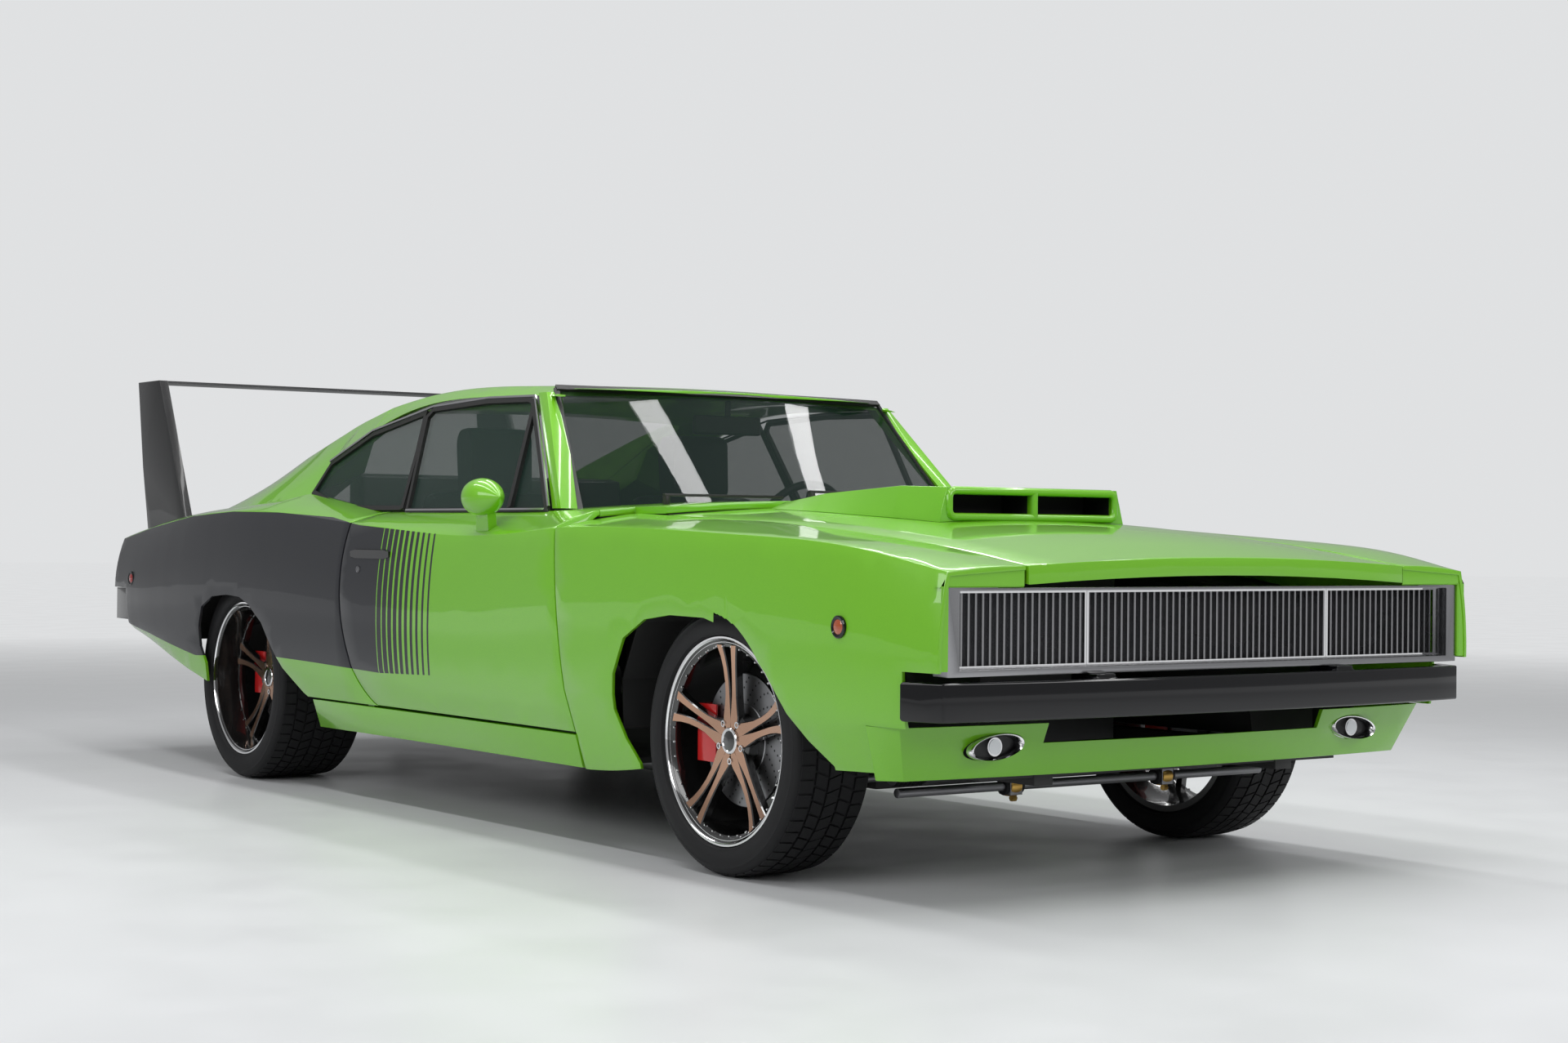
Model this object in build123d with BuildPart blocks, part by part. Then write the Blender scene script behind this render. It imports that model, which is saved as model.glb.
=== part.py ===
from build123d import *
import os
from math import atan2, cos, degrees, hypot, pi, radians, sin

# A two-door fastback coupe with a tall rear wing. Millimetres, front towards -Y, left side at +X,
# +Z up, the ground at Z = 0 and the origin midway between the two bumpers.

# Wheels and axles
FRONT_AXLE_Y = -1704.0
WHEELBASE = 2972.0
REAR_AXLE_Y = FRONT_AXLE_Y + WHEELBASE
FRONT_TYRE_RADIUS = 345.0
REAR_TYRE_RADIUS = 352.0
FRONT_TYRE_WIDTH = 245.0
REAR_TYRE_WIDTH = 325.0
FRONT_TYRE_FACE_X = 900.0
REAR_TYRE_FACE_X = 915.0
RIM_LIP_RADIUS = 268.0
RIM_SEAT_RADIUS = 252.0
RIM_WALL = 9.0
LIP_INSET = 6.0
HUB_RADIUS = 72.0
HUB_BORE_RADIUS = 30.0
BEARING_GAP = 0.5
SPOKE_COUNT = 5
SPOKE_THICKNESS = 26.0
FRONT_DISH = 27.0
REAR_DISH = 100.0
DISC_RADIUS = 172.0
DISC_THICKNESS = 24.0
BEAD_GAP = 0.3
KINGPIN_X = 780.0
STEER_SWEEP = (16, 19, 22, 25, 28)
STEER_CLEARANCE = 7.0
KNUCKLE_THICKNESS = 36.0

# Gaps and seats
SEAT_GAP = 0.3
PANEL_GAP = 6.0
DOOR_REAR_GAP = 9.0
GLASS = 6.0

# Body shell
HALF_WIDTH = 975.0
FENDER_SKIN = 10.0
QUARTER_SKIN = 10.0
DOOR_THICKNESS = 80.0
SEAM_X = 655.0
HOOD_SKIN = 26.0
HOOD_FRONT_Y = -2604.0
HOOD_REAR_Y = -1080.0
LID_SKIN = 24.0
LID_SEAM_X = 568.0
LID_FRONT_Y = 1568.0
LID_REAR_Y = 2490.0
NOSE_Y = -2600.0
TAIL_Y = 2590.0
SILL_TOP_Z = 314.0
SILL_INNER_X = 800.0
BODY_FLOOR_Z = 222.0

# Windows. The side glass is one plane that leans in from the beltline to the roof rail.
BELT_X = 790.0
BELT_Z = 936.0
BELT_LIP = 10.0
TOP_FLAT = 14.0
RAIL_X = 656.0
RAIL_Z = 1285.0
GLASS_LEAN = atan2(BELT_X - RAIL_X, RAIL_Z - BELT_Z)
COWL_EDGE_Z = 938.0
COWL_CROWN_Z = 975.0
COWL_HALF_WIDTH = 784.0

# Body side, one row for each station: Y, then inset from HALF_WIDTH and height of the shoulder
# crease, the widest line, the lower crease and the bottom edge, then the heights of the top surface
# at the hood or lid seam and on the centre line.
BODY_COLUMNS = ("y", "shoulder_in", "shoulder_z", "mid_in", "mid_z", "low_in", "low_z",
                "bottom_in", "bottom_z", "seam_z", "centre_z")
BODY_TABLE = (
    (NOSE_Y, 85, 792, 62, 640, 72, 440, 105, 325, 806, 826),
    (-2264, 46, 849, 30, 655, 40, 440, 80, 315, 853, 886),
    (-1704, 35, 877, 25, 660, 34, 440, 70, 290, 900, 928),
    (-1100, 40, 890, 27, 655, 36, 440, 86, 222, 925, 956),
    (-400, 50, 862, 32, 655, 37, 437, 90, 220, 938, 975),
    (300, 45, 895, 15, 660, 27, 440, 88, 225, 938, 975),
    (900, 35, 935, 3, 690, 20, 445, 70, 248, 985, 990),
    (1268, 30, 939, 2, 700, 18, 452, 40, 290, 980, 990),
    (1700, 45, 920, 12, 690, 28, 470, 42, 365, 966, 976),
    (2200, 95, 879, 48, 690, 62, 490, 90, 455, 942, 952),
    (TAIL_Y, 135, 836, 100, 690, 108, 530, 130, 510, 890, 898),
)
# Inner edge of the body side's top: Y, X, Z. It follows the hood seam, the beltline and the lid seam.
TOP_EDGE_TABLE = (
    (-1030, BELT_X - BELT_LIP, BELT_Z), (411, BELT_X - BELT_LIP, BELT_Z), (1012, 752, 1003),
    (1300, 660, 985), (1480, LID_SEAM_X, 974), (1700, LID_SEAM_X, 966), (1900, LID_SEAM_X, 958),
    (2200, LID_SEAM_X, 942), (TAIL_Y, LID_SEAM_X, 890),
)
# Height of the quarter's top above a straight line from its inner edge to the shoulder: Y, crown
DECK_CROWN = ((411, 4), (1200, 8), (1700, 14), (TAIL_Y, 18))
# Outline of each wheel opening, from the low corner behind the wheel round to the low corner ahead
# of it: offset from the axle towards the rear, height.
FRONT_ARCH = ((370, 200), (370, 259), (421, 324), (454, 400), (441, 497), (383, 594), (276, 647), (154, 662),
              (-3, 660), (-109, 636), (-204, 590), (-270, 535), (-352, 440), (-418, 377), (-495, 322), (-495, 200))
REAR_ARCH = ((237, 200), (237, 395), (277, 454), (267, 529), (226, 598), (125, 637), (-8, 646), (-122, 641),
             (-202, 615), (-298, 558), (-362, 477), (-424, 408), (-546, 332), (-693, 270), (-800, 200))

# Door outline in side view
DOOR_FRONT_TOP = (-919.0, 960.0)
DOOR_FRONT_LOW = (-1019.0, 322.0)
DOOR_CORNER = ((190.0, 322.0), (270.0, 378.0), (321.0, 468.0))
DOOR_REAR = ((321.0, 468.0), (376.0, 700.0), (338.0, 960.0))
DOOR_HINGE_X = HALF_WIDTH - 22.0
DOOR_HINGE_Y = -905.0

# Roof: Y, rail X, rail Z, brow X, brow Z, centre Z
ROOF_TABLE = (
    (-470, 644, 1284, 560, 1308, 1322), (-250, 657, 1295, 570, 1328, 1343), (0, 662, 1300, 575, 1338, 1353),
    (350, 666, 1288, 578, 1336, 1351), (560, 680, 1250, 590, 1318, 1335), (720, 692, 1202, 601, 1296, 1313),
)
ROOF_SKIN = 22.0
# Sail panel behind the roof: Y, then X and Z of the outer foot, the ridge, its inner edge, the inner wall's
# foot and the inner foot. A height of None is the quarter's own top there, less a little to join it.
SAIL_TABLE = (
    (720.3, 692, 1202, 601, 1296, 566, 1298, 566, 1262, 660, 1186),
    (938, 726, 1112, 601, 1254, 566, 1252, 566, 1190, 696, 1092),
    (1012, 768, None, 600, 1238, 566, 1236, 566, 1080, 745, None),
    (1400, 830, None, 602, 1138, 569, 1136, 569, 940, 790, None),
    (1700, 815, None, 606, 1046, 570, 1044, 570, 930, 780, None),
    (1985, 770, None, 616, 956, 580, 954, 580, 925, 750, None),
)
SAIL_ROOT = 4.0


def table_value(table, column, y):
    """Smooth value of one table column at Y: a cubic through the rows, level-ended beyond them."""
    rows = [(row[0], row[column]) for row in table]
    if y <= rows[0][0]:
        return rows[0][1]
    if y >= rows[-1][0]:
        return rows[-1][1]
    i = max(k for k in range(len(rows) - 1) if rows[k][0] <= y)

    def slope(k):
        a, b = rows[max(k - 1, 0)], rows[min(k + 1, len(rows) - 1)]
        return (b[1] - a[1]) / (b[0] - a[0])

    (y0, v0), (y1, v1) = rows[i], rows[i + 1]
    span = y1 - y0
    t = (y - y0) / span
    return ((2 * t ** 3 - 3 * t ** 2 + 1) * v0 + (t ** 3 - 2 * t ** 2 + t) * span * slope(i)
            + (3 * t ** 2 - 2 * t ** 3) * v1 + (t ** 3 - t ** 2) * span * slope(i + 1))


def straight_value(table, column, y):
    """Value of one table column at Y, straight between the rows."""
    rows = [(row[0], row[column]) for row in table]
    for (y0, v0), (y1, v1) in zip(rows, rows[1:]):
        if y <= y1:
            return v0 + (v1 - v0) * (max(y, y0) - y0) / (y1 - y0)
    return rows[-1][1]


def body(name, y):
    """A body table column at Y. Inset columns come back as X."""
    value = table_value(BODY_TABLE, BODY_COLUMNS.index(name), y)
    return HALF_WIDTH - value if name.endswith("_in") else value


def at_y(y):
    """The upright plane across the car at Y, with X to its right and Z up."""
    return Plane.XZ.offset(-y)


def side_section(y, top_x, top_z, skin, inner_x=None, crown=4.0):
    """Closed section of a body side at Y: crease to crease outside, skin-thick or to a flat inner wall."""
    shoulder = (body("shoulder_in", y), body("shoulder_z", y))
    mid = (body("mid_in", y), body("mid_z", y))
    low = (body("low_in", y), body("low_z", y))
    foot = (body("bottom_in", y), body("bottom_z", y))
    flat = (top_x + TOP_FLAT, top_z)
    crest = ((flat[0] + shoulder[0]) / 2, (top_z + shoulder[1]) / 2 + crown)
    with BuildSketch(at_y(y)) as section:
        with BuildLine():
            Line((top_x, top_z), flat)
            ThreePointArc(flat, crest, shoulder)
            ThreePointArc(shoulder, mid, low)
            Line(low, foot)
            if inner_x is None:
                Line(foot, (foot[0] - skin, foot[1]))
                Line((foot[0] - skin, foot[1]), (low[0] - skin, low[1]))
                inner_shoulder = (shoulder[0] - skin, shoulder[1] - skin)
                ThreePointArc((low[0] - skin, low[1]), (mid[0] - skin, mid[1]), inner_shoulder)
                Polyline(inner_shoulder, (top_x, top_z - skin), (top_x, top_z))
            else:
                knee = (inner_x, shoulder[1] - skin)
                Polyline(foot, (inner_x, foot[1]), knee, (top_x, top_z - skin), (top_x, top_z))
        make_face()
    return section.sketch


def deck_height(x, y):
    """Height of the quarter's top at X and Y, on the straight line under its crown."""
    top_x, top_z = (straight_value(TOP_EDGE_TABLE, column, y) for column in (1, 2))
    shoulder_x, shoulder_z = body("shoulder_in", y), body("shoulder_z", y)
    return top_z + (shoulder_z - top_z) * (x - top_x - TOP_FLAT) / (shoulder_x - top_x - TOP_FLAT)


def outline(points, x_from, x_to):
    """A block through the body side: a side-view polygon drawn out from one X to the other."""
    with BuildPart() as block:
        with BuildSketch(Plane.YZ.offset(x_from)):
            with BuildLine():
                Polyline(*points, close=True)
            make_face()
        extrude(amount=x_to - x_from)
    return block.part


def arch(points, axle_y):
    return outline([(axle_y + dy, z) for dy, z in points], SEAM_X, HALF_WIDTH + 50)


def door_block(front_gap, bottom_gap, rear_gap, x_from, x_to):
    """The door's outline in side view, grown by a gap along each edge."""
    front_top = (DOOR_FRONT_TOP[0] - front_gap, DOOR_FRONT_TOP[1])
    lean = (DOOR_FRONT_TOP[0] - DOOR_FRONT_LOW[0]) / (DOOR_FRONT_TOP[1] - DOOR_FRONT_LOW[1])
    front_low = (DOOR_FRONT_LOW[0] - front_gap - bottom_gap * lean, DOOR_FRONT_LOW[1] - bottom_gap)
    corner = [(y + rear_gap, z - bottom_gap) for y, z in DOOR_CORNER]
    rear = [corner[-1], *[(y + rear_gap, z) for y, z in DOOR_REAR[1:]]]
    with BuildPart() as block:
        with BuildSketch(Plane.YZ.offset(x_from)):
            with BuildLine():
                Polyline(front_top, front_low, corner[0])
                ThreePointArc(*corner)
                ThreePointArc(*rear)
                Line(rear[-1], front_top)
            make_face()
        extrude(amount=x_to - x_from)
    return block.part


def save(part, name):
    part.label = name
    export_step(part, f"parts/{name}.step")


def save_pair(left, name):
    """Writes a left-hand piece and its mirror image on the right."""
    save(left, f"{name}_left")
    save(mirror(left, about=Plane.YZ), f"{name}_right")


def biggest(part):
    """The largest solid of a part that a cut has left in pieces."""
    return Part() + part.solids().sort_by(SortBy.VOLUME)[-1]


def both_sides(left):
    return Part() + [left, mirror(left, about=Plane.YZ)]


os.makedirs("parts", exist_ok=True)

# Front fenders: outer skin from the nose to the door, with the wheel opening and bumper notch
FENDER_NOTCH = ((-2700, 562), (-2484, 562), (-2484, 430), (-2352, 430), (-2352, 200), (-2700, 200))
with BuildPart() as fender:
    FENDER_STATIONS = (NOSE_Y, -2430, -2264, -1980, -1704, -1400, -1100, -905)
    for y in FENDER_STATIONS:
        add(side_section(y, SEAM_X, body("seam_z", y), FENDER_SKIN))
    loft()
    add(door_block(PANEL_GAP, 200, 600, SEAM_X - 60, HALF_WIDTH + 60), mode=Mode.SUBTRACT)
    add(arch(FRONT_ARCH, FRONT_AXLE_Y), mode=Mode.SUBTRACT)
    add(outline(FENDER_NOTCH, SEAM_X - 60, HALF_WIDTH + 60), mode=Mode.SUBTRACT)
    # The edge ahead of the wheel is relieved where the turned tyre swings past it
    for angle in STEER_SWEEP:
        turned_hub = Location((KINGPIN_X, FRONT_AXLE_Y, FRONT_TYRE_RADIUS), (0, 0, angle))
        tyre_offset = FRONT_TYRE_FACE_X - FRONT_TYRE_WIDTH / 2 - KINGPIN_X
        with Locations(turned_hub * Location((tyre_offset, 0, 0), (0, 90, 0))):
            Cylinder(FRONT_TYRE_RADIUS + STEER_CLEARANCE, FRONT_TYRE_WIDTH + 2 * STEER_CLEARANCE, mode=Mode.SUBTRACT)
save_pair(biggest(fender.part), "fender")

# Doors: full thickness, with the lip that carries the glass
with BuildPart() as door:
    DOOR_STATIONS = (-1040, -700, -400, 0, 300, 400)
    for y in DOOR_STATIONS:
        inner_x = body("low_in", y) - DOOR_THICKNESS
        add(side_section(y, BELT_X - BELT_LIP, BELT_Z, FENDER_SKIN, inner_x))
    loft()
    add(door_block(0, 0, 0, SEAM_X, HALF_WIDTH + 60), mode=Mode.INTERSECT)
save_pair(door.part, "door")

# Rear quarters: outer skin, wheel opening and the sail panel beside the rear window
QUARTER_FOOT_Z = SILL_TOP_Z + PANEL_GAP
QUARTER_TRIM = ((0, 0), (0, QUARTER_FOOT_Z), (REAR_AXLE_Y - 500, QUARTER_FOOT_Z), (REAR_AXLE_Y - 500, 0))
QUARTER_NOTCH = ((2404, 300), (2404, 645), (2700, 645), (2700, 300))
with BuildPart() as quarter:
    QUARTER_STATIONS = (190, 411, 620, 820, 1012, 1160, 1300, 1480, 1700, 1900, 2060, 2200, 2330, 2460, TAIL_Y)
    for y in QUARTER_STATIONS:
        top_x, top_z = (straight_value(TOP_EDGE_TABLE, column, y) for column in (1, 2))
        add(side_section(y, top_x, top_z, QUARTER_SKIN, crown=straight_value(DECK_CROWN, 1, y)))
    loft(ruled=True)
    add(door_block(400, 0, DOOR_REAR_GAP, SEAM_X - 60, HALF_WIDTH + 60), mode=Mode.SUBTRACT)
    add(arch(REAR_ARCH, REAR_AXLE_Y), mode=Mode.SUBTRACT)
    add(outline(QUARTER_TRIM, SEAM_X - 60, HALF_WIDTH + 60), mode=Mode.SUBTRACT)
    add(outline(QUARTER_NOTCH, SEAM_X - 60, HALF_WIDTH + 60), mode=Mode.SUBTRACT)
with BuildPart() as sail:
    for row in SAIL_TABLE:
        points = [(x, deck_height(x, row[0]) - SAIL_ROOT if z is None else z) for x, z in zip(row[1::2], row[2::2])]
        with BuildSketch(at_y(row[0])):
            with BuildLine():
                Polyline(*points, close=True)
            make_face()
    loft(ruled=True)
with BuildPart() as quarter_left:
    add(quarter.part)
    add(sail.part)
save_pair(quarter_left.part, "quarter_panel")

# Sills under the doors, with the latch posts that the shut doors rest on
with BuildPart() as sill:
    for y in (-1024, -400, 300, REAR_AXLE_Y - 620):
        low_x = body("low_in", y)
        foot = (body("bottom_in", y), BODY_FLOOR_Z)
        with BuildSketch(at_y(y)):
            with BuildLine():
                Polyline((SILL_INNER_X, SILL_TOP_Z), (low_x - (low_x - foot[0]) * 0.5, SILL_TOP_Z), foot,
                         (SILL_INNER_X, BODY_FLOOR_Z), close=True)
            make_face()
    loft(ruled=True)
    with Locations((855, 262, (SILL_TOP_Z + 720) / 2 - 4)):
        Box(90, 44, 720 - SILL_TOP_Z + 8)
    add(Pos(-SEAT_GAP, 0, 0) * door.part, mode=Mode.SUBTRACT)
save(both_sides(sill.part), "sills")

# Roof with its windscreen pillars
WINDSCREEN_BASE = ((712.0, -703.0), (0.0, -842.0))
WINDSCREEN_TOP = ((621.0, -398.0), (0.0, -462.0))
WINDSCREEN_BASE_Z = 930.0
WINDSCREEN_TOP_Z = 1312.0


def windscreen_band(corner, middle, z, ahead, behind):
    """Thin curved band across the car at height Z: the windscreen's section, or its opening."""
    with BuildSketch(Plane.XY.offset(z)) as band:
        with BuildLine():
            front = [(-corner[0], corner[1] - ahead), (middle[0], middle[1] - ahead), (corner[0], corner[1] - ahead)]
            rear = [(corner[0], corner[1] + behind), (middle[0], middle[1] + behind), (-corner[0], corner[1] + behind)]
            ThreePointArc(*front)
            Line(front[-1], rear[0])
            ThreePointArc(*rear)
            Line(rear[-1], front[0])
        make_face()
    return band.sketch


with BuildPart() as roof_panel:
    for y, rail_x, rail_z, brow_x, brow_z, centre_z in ROOF_TABLE:
        with BuildSketch(at_y(y)):
            with BuildLine():
                Line((-rail_x, rail_z), (-brow_x, brow_z))
                ThreePointArc((-brow_x, brow_z), (0, centre_z), (brow_x, brow_z))
                Polyline((brow_x, brow_z), (rail_x, rail_z), (rail_x - ROOF_SKIN, rail_z),
                         (brow_x - ROOF_SKIN, brow_z - ROOF_SKIN))
                ThreePointArc((brow_x - ROOF_SKIN, brow_z - ROOF_SKIN), (0, centre_z - ROOF_SKIN),
                              (ROOF_SKIN - brow_x, brow_z - ROOF_SKIN))
                Polyline((ROOF_SKIN - brow_x, brow_z - ROOF_SKIN), (ROOF_SKIN - rail_x, rail_z), (-rail_x, rail_z))
            make_face()
    loft()
PILLAR_FOOT = (784.0, -690.0)
PILLAR_HEAD = (657.0, -385.0)
PILLAR_WIDTH = 56.0
PILLAR_DEPTH = 50.0
with BuildPart() as pillar:
    for (x, y), z in ((PILLAR_FOOT, COWL_EDGE_Z + SEAT_GAP + 5.4), (PILLAR_HEAD, 1300.0)):
        with BuildSketch(Plane.XY.offset(z)):
            with Locations((x - PILLAR_WIDTH / 2, y)):
                Rectangle(PILLAR_WIDTH, PILLAR_DEPTH)
    loft(ruled=True)
with BuildPart() as windscreen_opening:
    add(windscreen_band(*WINDSCREEN_BASE, WINDSCREEN_BASE_Z, 300, GLASS + SEAT_GAP))
    add(windscreen_band(*WINDSCREEN_TOP, WINDSCREEN_TOP_Z, 300, GLASS + SEAT_GAP))
    loft(ruled=True)
with BuildPart() as roof:
    add(roof_panel.part)
    add(both_sides(pillar.part))
    add(windscreen_opening.part, mode=Mode.SUBTRACT)
save(roof.part, "roof")

with BuildPart() as windscreen:
    add(windscreen_band(*WINDSCREEN_BASE, WINDSCREEN_BASE_Z, 0, GLASS))
    add(windscreen_band(*WINDSCREEN_TOP, WINDSCREEN_TOP_Z, 0, GLASS))
    loft(ruled=True)
    with BuildSketch(at_y(-600)):
        with BuildLine():
            rise = SEAT_GAP
            ThreePointArc((-COWL_HALF_WIDTH, COWL_EDGE_Z + rise), (0, COWL_CROWN_Z + rise),
                          (COWL_HALF_WIDTH, COWL_EDGE_Z + rise))
            Polyline((COWL_HALF_WIDTH, COWL_EDGE_Z + rise), (COWL_HALF_WIDTH, 800), (-COWL_HALF_WIDTH, 800),
                     (-COWL_HALF_WIDTH, COWL_EDGE_Z + rise))
        make_face()
    extrude(amount=400, mode=Mode.SUBTRACT)
save(windscreen.part, "windscreen")

# Cowl between the hood and the windscreen
COWL_SKIN = 20.0
COWL_FRONT_Y = HOOD_REAR_Y + PANEL_GAP
COWL_REAR_Y = -660.0
with BuildPart() as cowl:
    with BuildSketch(at_y(COWL_REAR_Y)):
        with BuildLine():
            ThreePointArc((-COWL_HALF_WIDTH, COWL_EDGE_Z), (0, COWL_CROWN_Z), (COWL_HALF_WIDTH, COWL_EDGE_Z))
            Line((COWL_HALF_WIDTH, COWL_EDGE_Z), (COWL_HALF_WIDTH, COWL_EDGE_Z - COWL_SKIN))
            ThreePointArc((COWL_HALF_WIDTH, COWL_EDGE_Z - COWL_SKIN), (0, COWL_CROWN_Z - COWL_SKIN),
                          (-COWL_HALF_WIDTH, COWL_EDGE_Z - COWL_SKIN))
            Line((-COWL_HALF_WIDTH, COWL_EDGE_Z - COWL_SKIN), (-COWL_HALF_WIDTH, COWL_EDGE_Z))
        make_face()
    extrude(amount=COWL_REAR_Y - COWL_FRONT_Y)
    inner = SEAM_X - SEAT_GAP
    with BuildSketch(Plane.XY.offset(800)):
        with BuildLine():
            Polyline((inner, COWL_FRONT_Y - 10), (inner, DOOR_FRONT_TOP[0] + 4), (BELT_X - BELT_LIP - 6, DOOR_FRONT_TOP[0] + 4),
                     (BELT_X - BELT_LIP - 6, COWL_REAR_Y + 10), (6 + BELT_LIP - BELT_X, COWL_REAR_Y + 10),
                     (6 + BELT_LIP - BELT_X, DOOR_FRONT_TOP[0] + 4), (-inner, DOOR_FRONT_TOP[0] + 4),
                     (-inner, COWL_FRONT_Y - 10), close=True)
        make_face()
    extrude(amount=300, mode=Mode.INTERSECT)
save(cowl.part, "cowl_panel")

# Hood with its nose band, and the twin-mouth scoop on it
HOOD_HALF = SEAM_X - PANEL_GAP
HOOD_BAND = 44.0
HOOD_BAND_DEPTH = 22.0
# Scoop: Y, half width at the hood, half width on top, height of the top
SCOOP_TABLE = ((-1888, 330, 304, 1003), (-1700, 336, 308, 1008), (-1350, 336, 300, 990), (-1130, 332, 284, 966))
SCOOP_DIVIDER = 24.0
MOUTH_HALF = 288.0
MOUTH_LOW_Z = 928.0
MOUTH_HIGH_Z = 988.0
MOUTH_DEPTH = 120.0


def crowned(y, half, edge_z, centre_z, skin):
    """Crowned plate section across the car at Y."""
    with BuildSketch(at_y(y)) as section:
        with BuildLine():
            ThreePointArc((-half, edge_z), (0, centre_z), (half, edge_z))
            Line((half, edge_z), (half, edge_z - skin))
            ThreePointArc((half, edge_z - skin), (0, centre_z - skin), (-half, edge_z - skin))
            Line((-half, edge_z - skin), (-half, edge_z))
        make_face()
    return section.sketch


def arc_height(x, half, edge_z, centre_z):
    """Height at X of the arc that rises from edge_z at half to centre_z in the middle."""
    rise = centre_z - edge_z
    radius = (half ** 2 + rise ** 2) / (2 * rise)
    return centre_z - radius + (radius ** 2 - x ** 2) ** 0.5


with BuildPart() as hood:
    for y in (HOOD_FRONT_Y, HOOD_FRONT_Y + HOOD_BAND_DEPTH):
        add(crowned(y, HOOD_HALF, body("seam_z", y), body("centre_z", y), HOOD_BAND))
    for y in (HOOD_FRONT_Y + HOOD_BAND_DEPTH + 4, -2430, -2264, -2070, *[row[0] for row in SCOOP_TABLE], HOOD_REAR_Y):
        add(crowned(y, HOOD_HALF, body("seam_z", y), body("centre_z", y), HOOD_SKIN))
    loft(ruled=True)
save(hood.part, "hood")

with BuildPart() as scoop:
    for y, base, top, top_z in SCOOP_TABLE:
        foot_z = arc_height(base, HOOD_HALF, body("seam_z", y), body("centre_z", y)) + SEAT_GAP
        with BuildSketch(at_y(y)):
            with BuildLine():
                Polyline((-base, foot_z), (-top, top_z), (top, top_z), (base, foot_z))
                ThreePointArc((base, foot_z), (0, body("centre_z", y) + SEAT_GAP), (-base, foot_z))
            make_face()
    loft(ruled=True)
    mouth_width = MOUTH_HALF - SCOOP_DIVIDER / 2
    for side in (-1, 1):
        with Locations((side * (SCOOP_DIVIDER / 2 + mouth_width / 2), SCOOP_TABLE[0][0], (MOUTH_LOW_Z + MOUTH_HIGH_Z) / 2)):
            Box(mouth_width, 2 * MOUTH_DEPTH, MOUTH_HIGH_Z - MOUTH_LOW_Z, mode=Mode.SUBTRACT)
save(scoop.part, "hood_scoop")

# Trunk lid, the panel ahead of it, the rear window and the wall with its shelf behind the seat
LID_HALF = LID_SEAM_X - PANEL_GAP
LID_CROWN = 9.0


def deck_section(y, half, skin):
    edge_z = straight_value(TOP_EDGE_TABLE, 2, y)
    return crowned(y, half, edge_z, edge_z + LID_CROWN, skin)


with BuildPart() as trunk_lid:
    for y in (LID_FRONT_Y, 1700, 1900, 2200, LID_REAR_Y):
        add(deck_section(y, LID_HALF, LID_SKIN))
    loft(ruled=True)
save(trunk_lid.part, "trunk_lid")

DECK_SKIN = 16.0
LID_REST_X = 400.0
FILLER_FRONT_Y = 1484.0
FILLER_REAR_Y = LID_FRONT_Y - PANEL_GAP
with BuildPart() as deck_filler:
    for y in (FILLER_FRONT_Y, FILLER_REAR_Y):
        add(deck_section(y, LID_SEAM_X - SEAT_GAP, DECK_SKIN))
    loft(ruled=True)
    under_lid = straight_value(TOP_EDGE_TABLE, 2, 1612) - LID_SKIN
    pad_z = arc_height(LID_REST_X + 20, LID_HALF, under_lid, under_lid + LID_CROWN) - SEAT_GAP
    for side in (-1, 1):
        with Locations((side * LID_REST_X, 1570, 922)):
            Box(40, 84, 14)
        with Locations((side * LID_REST_X, 1541, 942)):
            Box(40, 26, 36)
        with Locations((side * LID_REST_X, 1602, (922 + pad_z) / 2)):
            Box(40, 20, pad_z - 922)
save(deck_filler.part, "deck_filler")

REAR_WINDOW_HALF = 565.7
with BuildPart() as rear_window:
    with BuildSketch(Plane.YZ.offset(-REAR_WINDOW_HALF)):
        with BuildLine():
            Polyline((722, 1297), (FILLER_FRONT_Y - SEAT_GAP, 972), (FILLER_FRONT_Y - SEAT_GAP, 972 - GLASS),
                     (722, 1297 - GLASS), close=True)
        make_face()
    extrude(amount=2 * REAR_WINDOW_HALF)
save(rear_window.part, "rear_window")

# Tail panel with two wide lamps, and the rear bumper
TAIL_FACE_Y = 2570.0
TAIL_SKIN = 14.0
TAIL_LAMP = (470.0, 706.0, 620.0, 118.0)
with BuildPart() as tail_panel:
    with BuildSketch(at_y(TAIL_FACE_Y)):
        with BuildLine():
            right = [(735, 440), (735, 645), (852, 655), (856, 690), (826, 816), (561, 866)]
            Polyline(*right, *[(-x, z) for x, z in reversed(right)], close=True)
        make_face()
    extrude(amount=TAIL_SKIN)
    for y in (LID_REAR_Y + PANEL_GAP, TAIL_FACE_Y):
        add(deck_section(y, LID_SEAM_X - SEAT_GAP, DECK_SKIN + 12))
    loft(ruled=True)
    x, z, width, height = TAIL_LAMP
    with BuildSketch(at_y(TAIL_FACE_Y + 20)):
        with Locations((-x, z), (x, z)):
            Rectangle(width, height)
    extrude(amount=60, mode=Mode.SUBTRACT)
save(tail_panel.part, "tail_panel")
with BuildPart() as tail_lamps:
    with Locations((-x, TAIL_FACE_Y - 2, z), (x, TAIL_FACE_Y - 2, z)):
        Box(width - 2 * SEAT_GAP, 24, height - 2 * SEAT_GAP)
save(tail_lamps.part, "tail_lamps")


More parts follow.
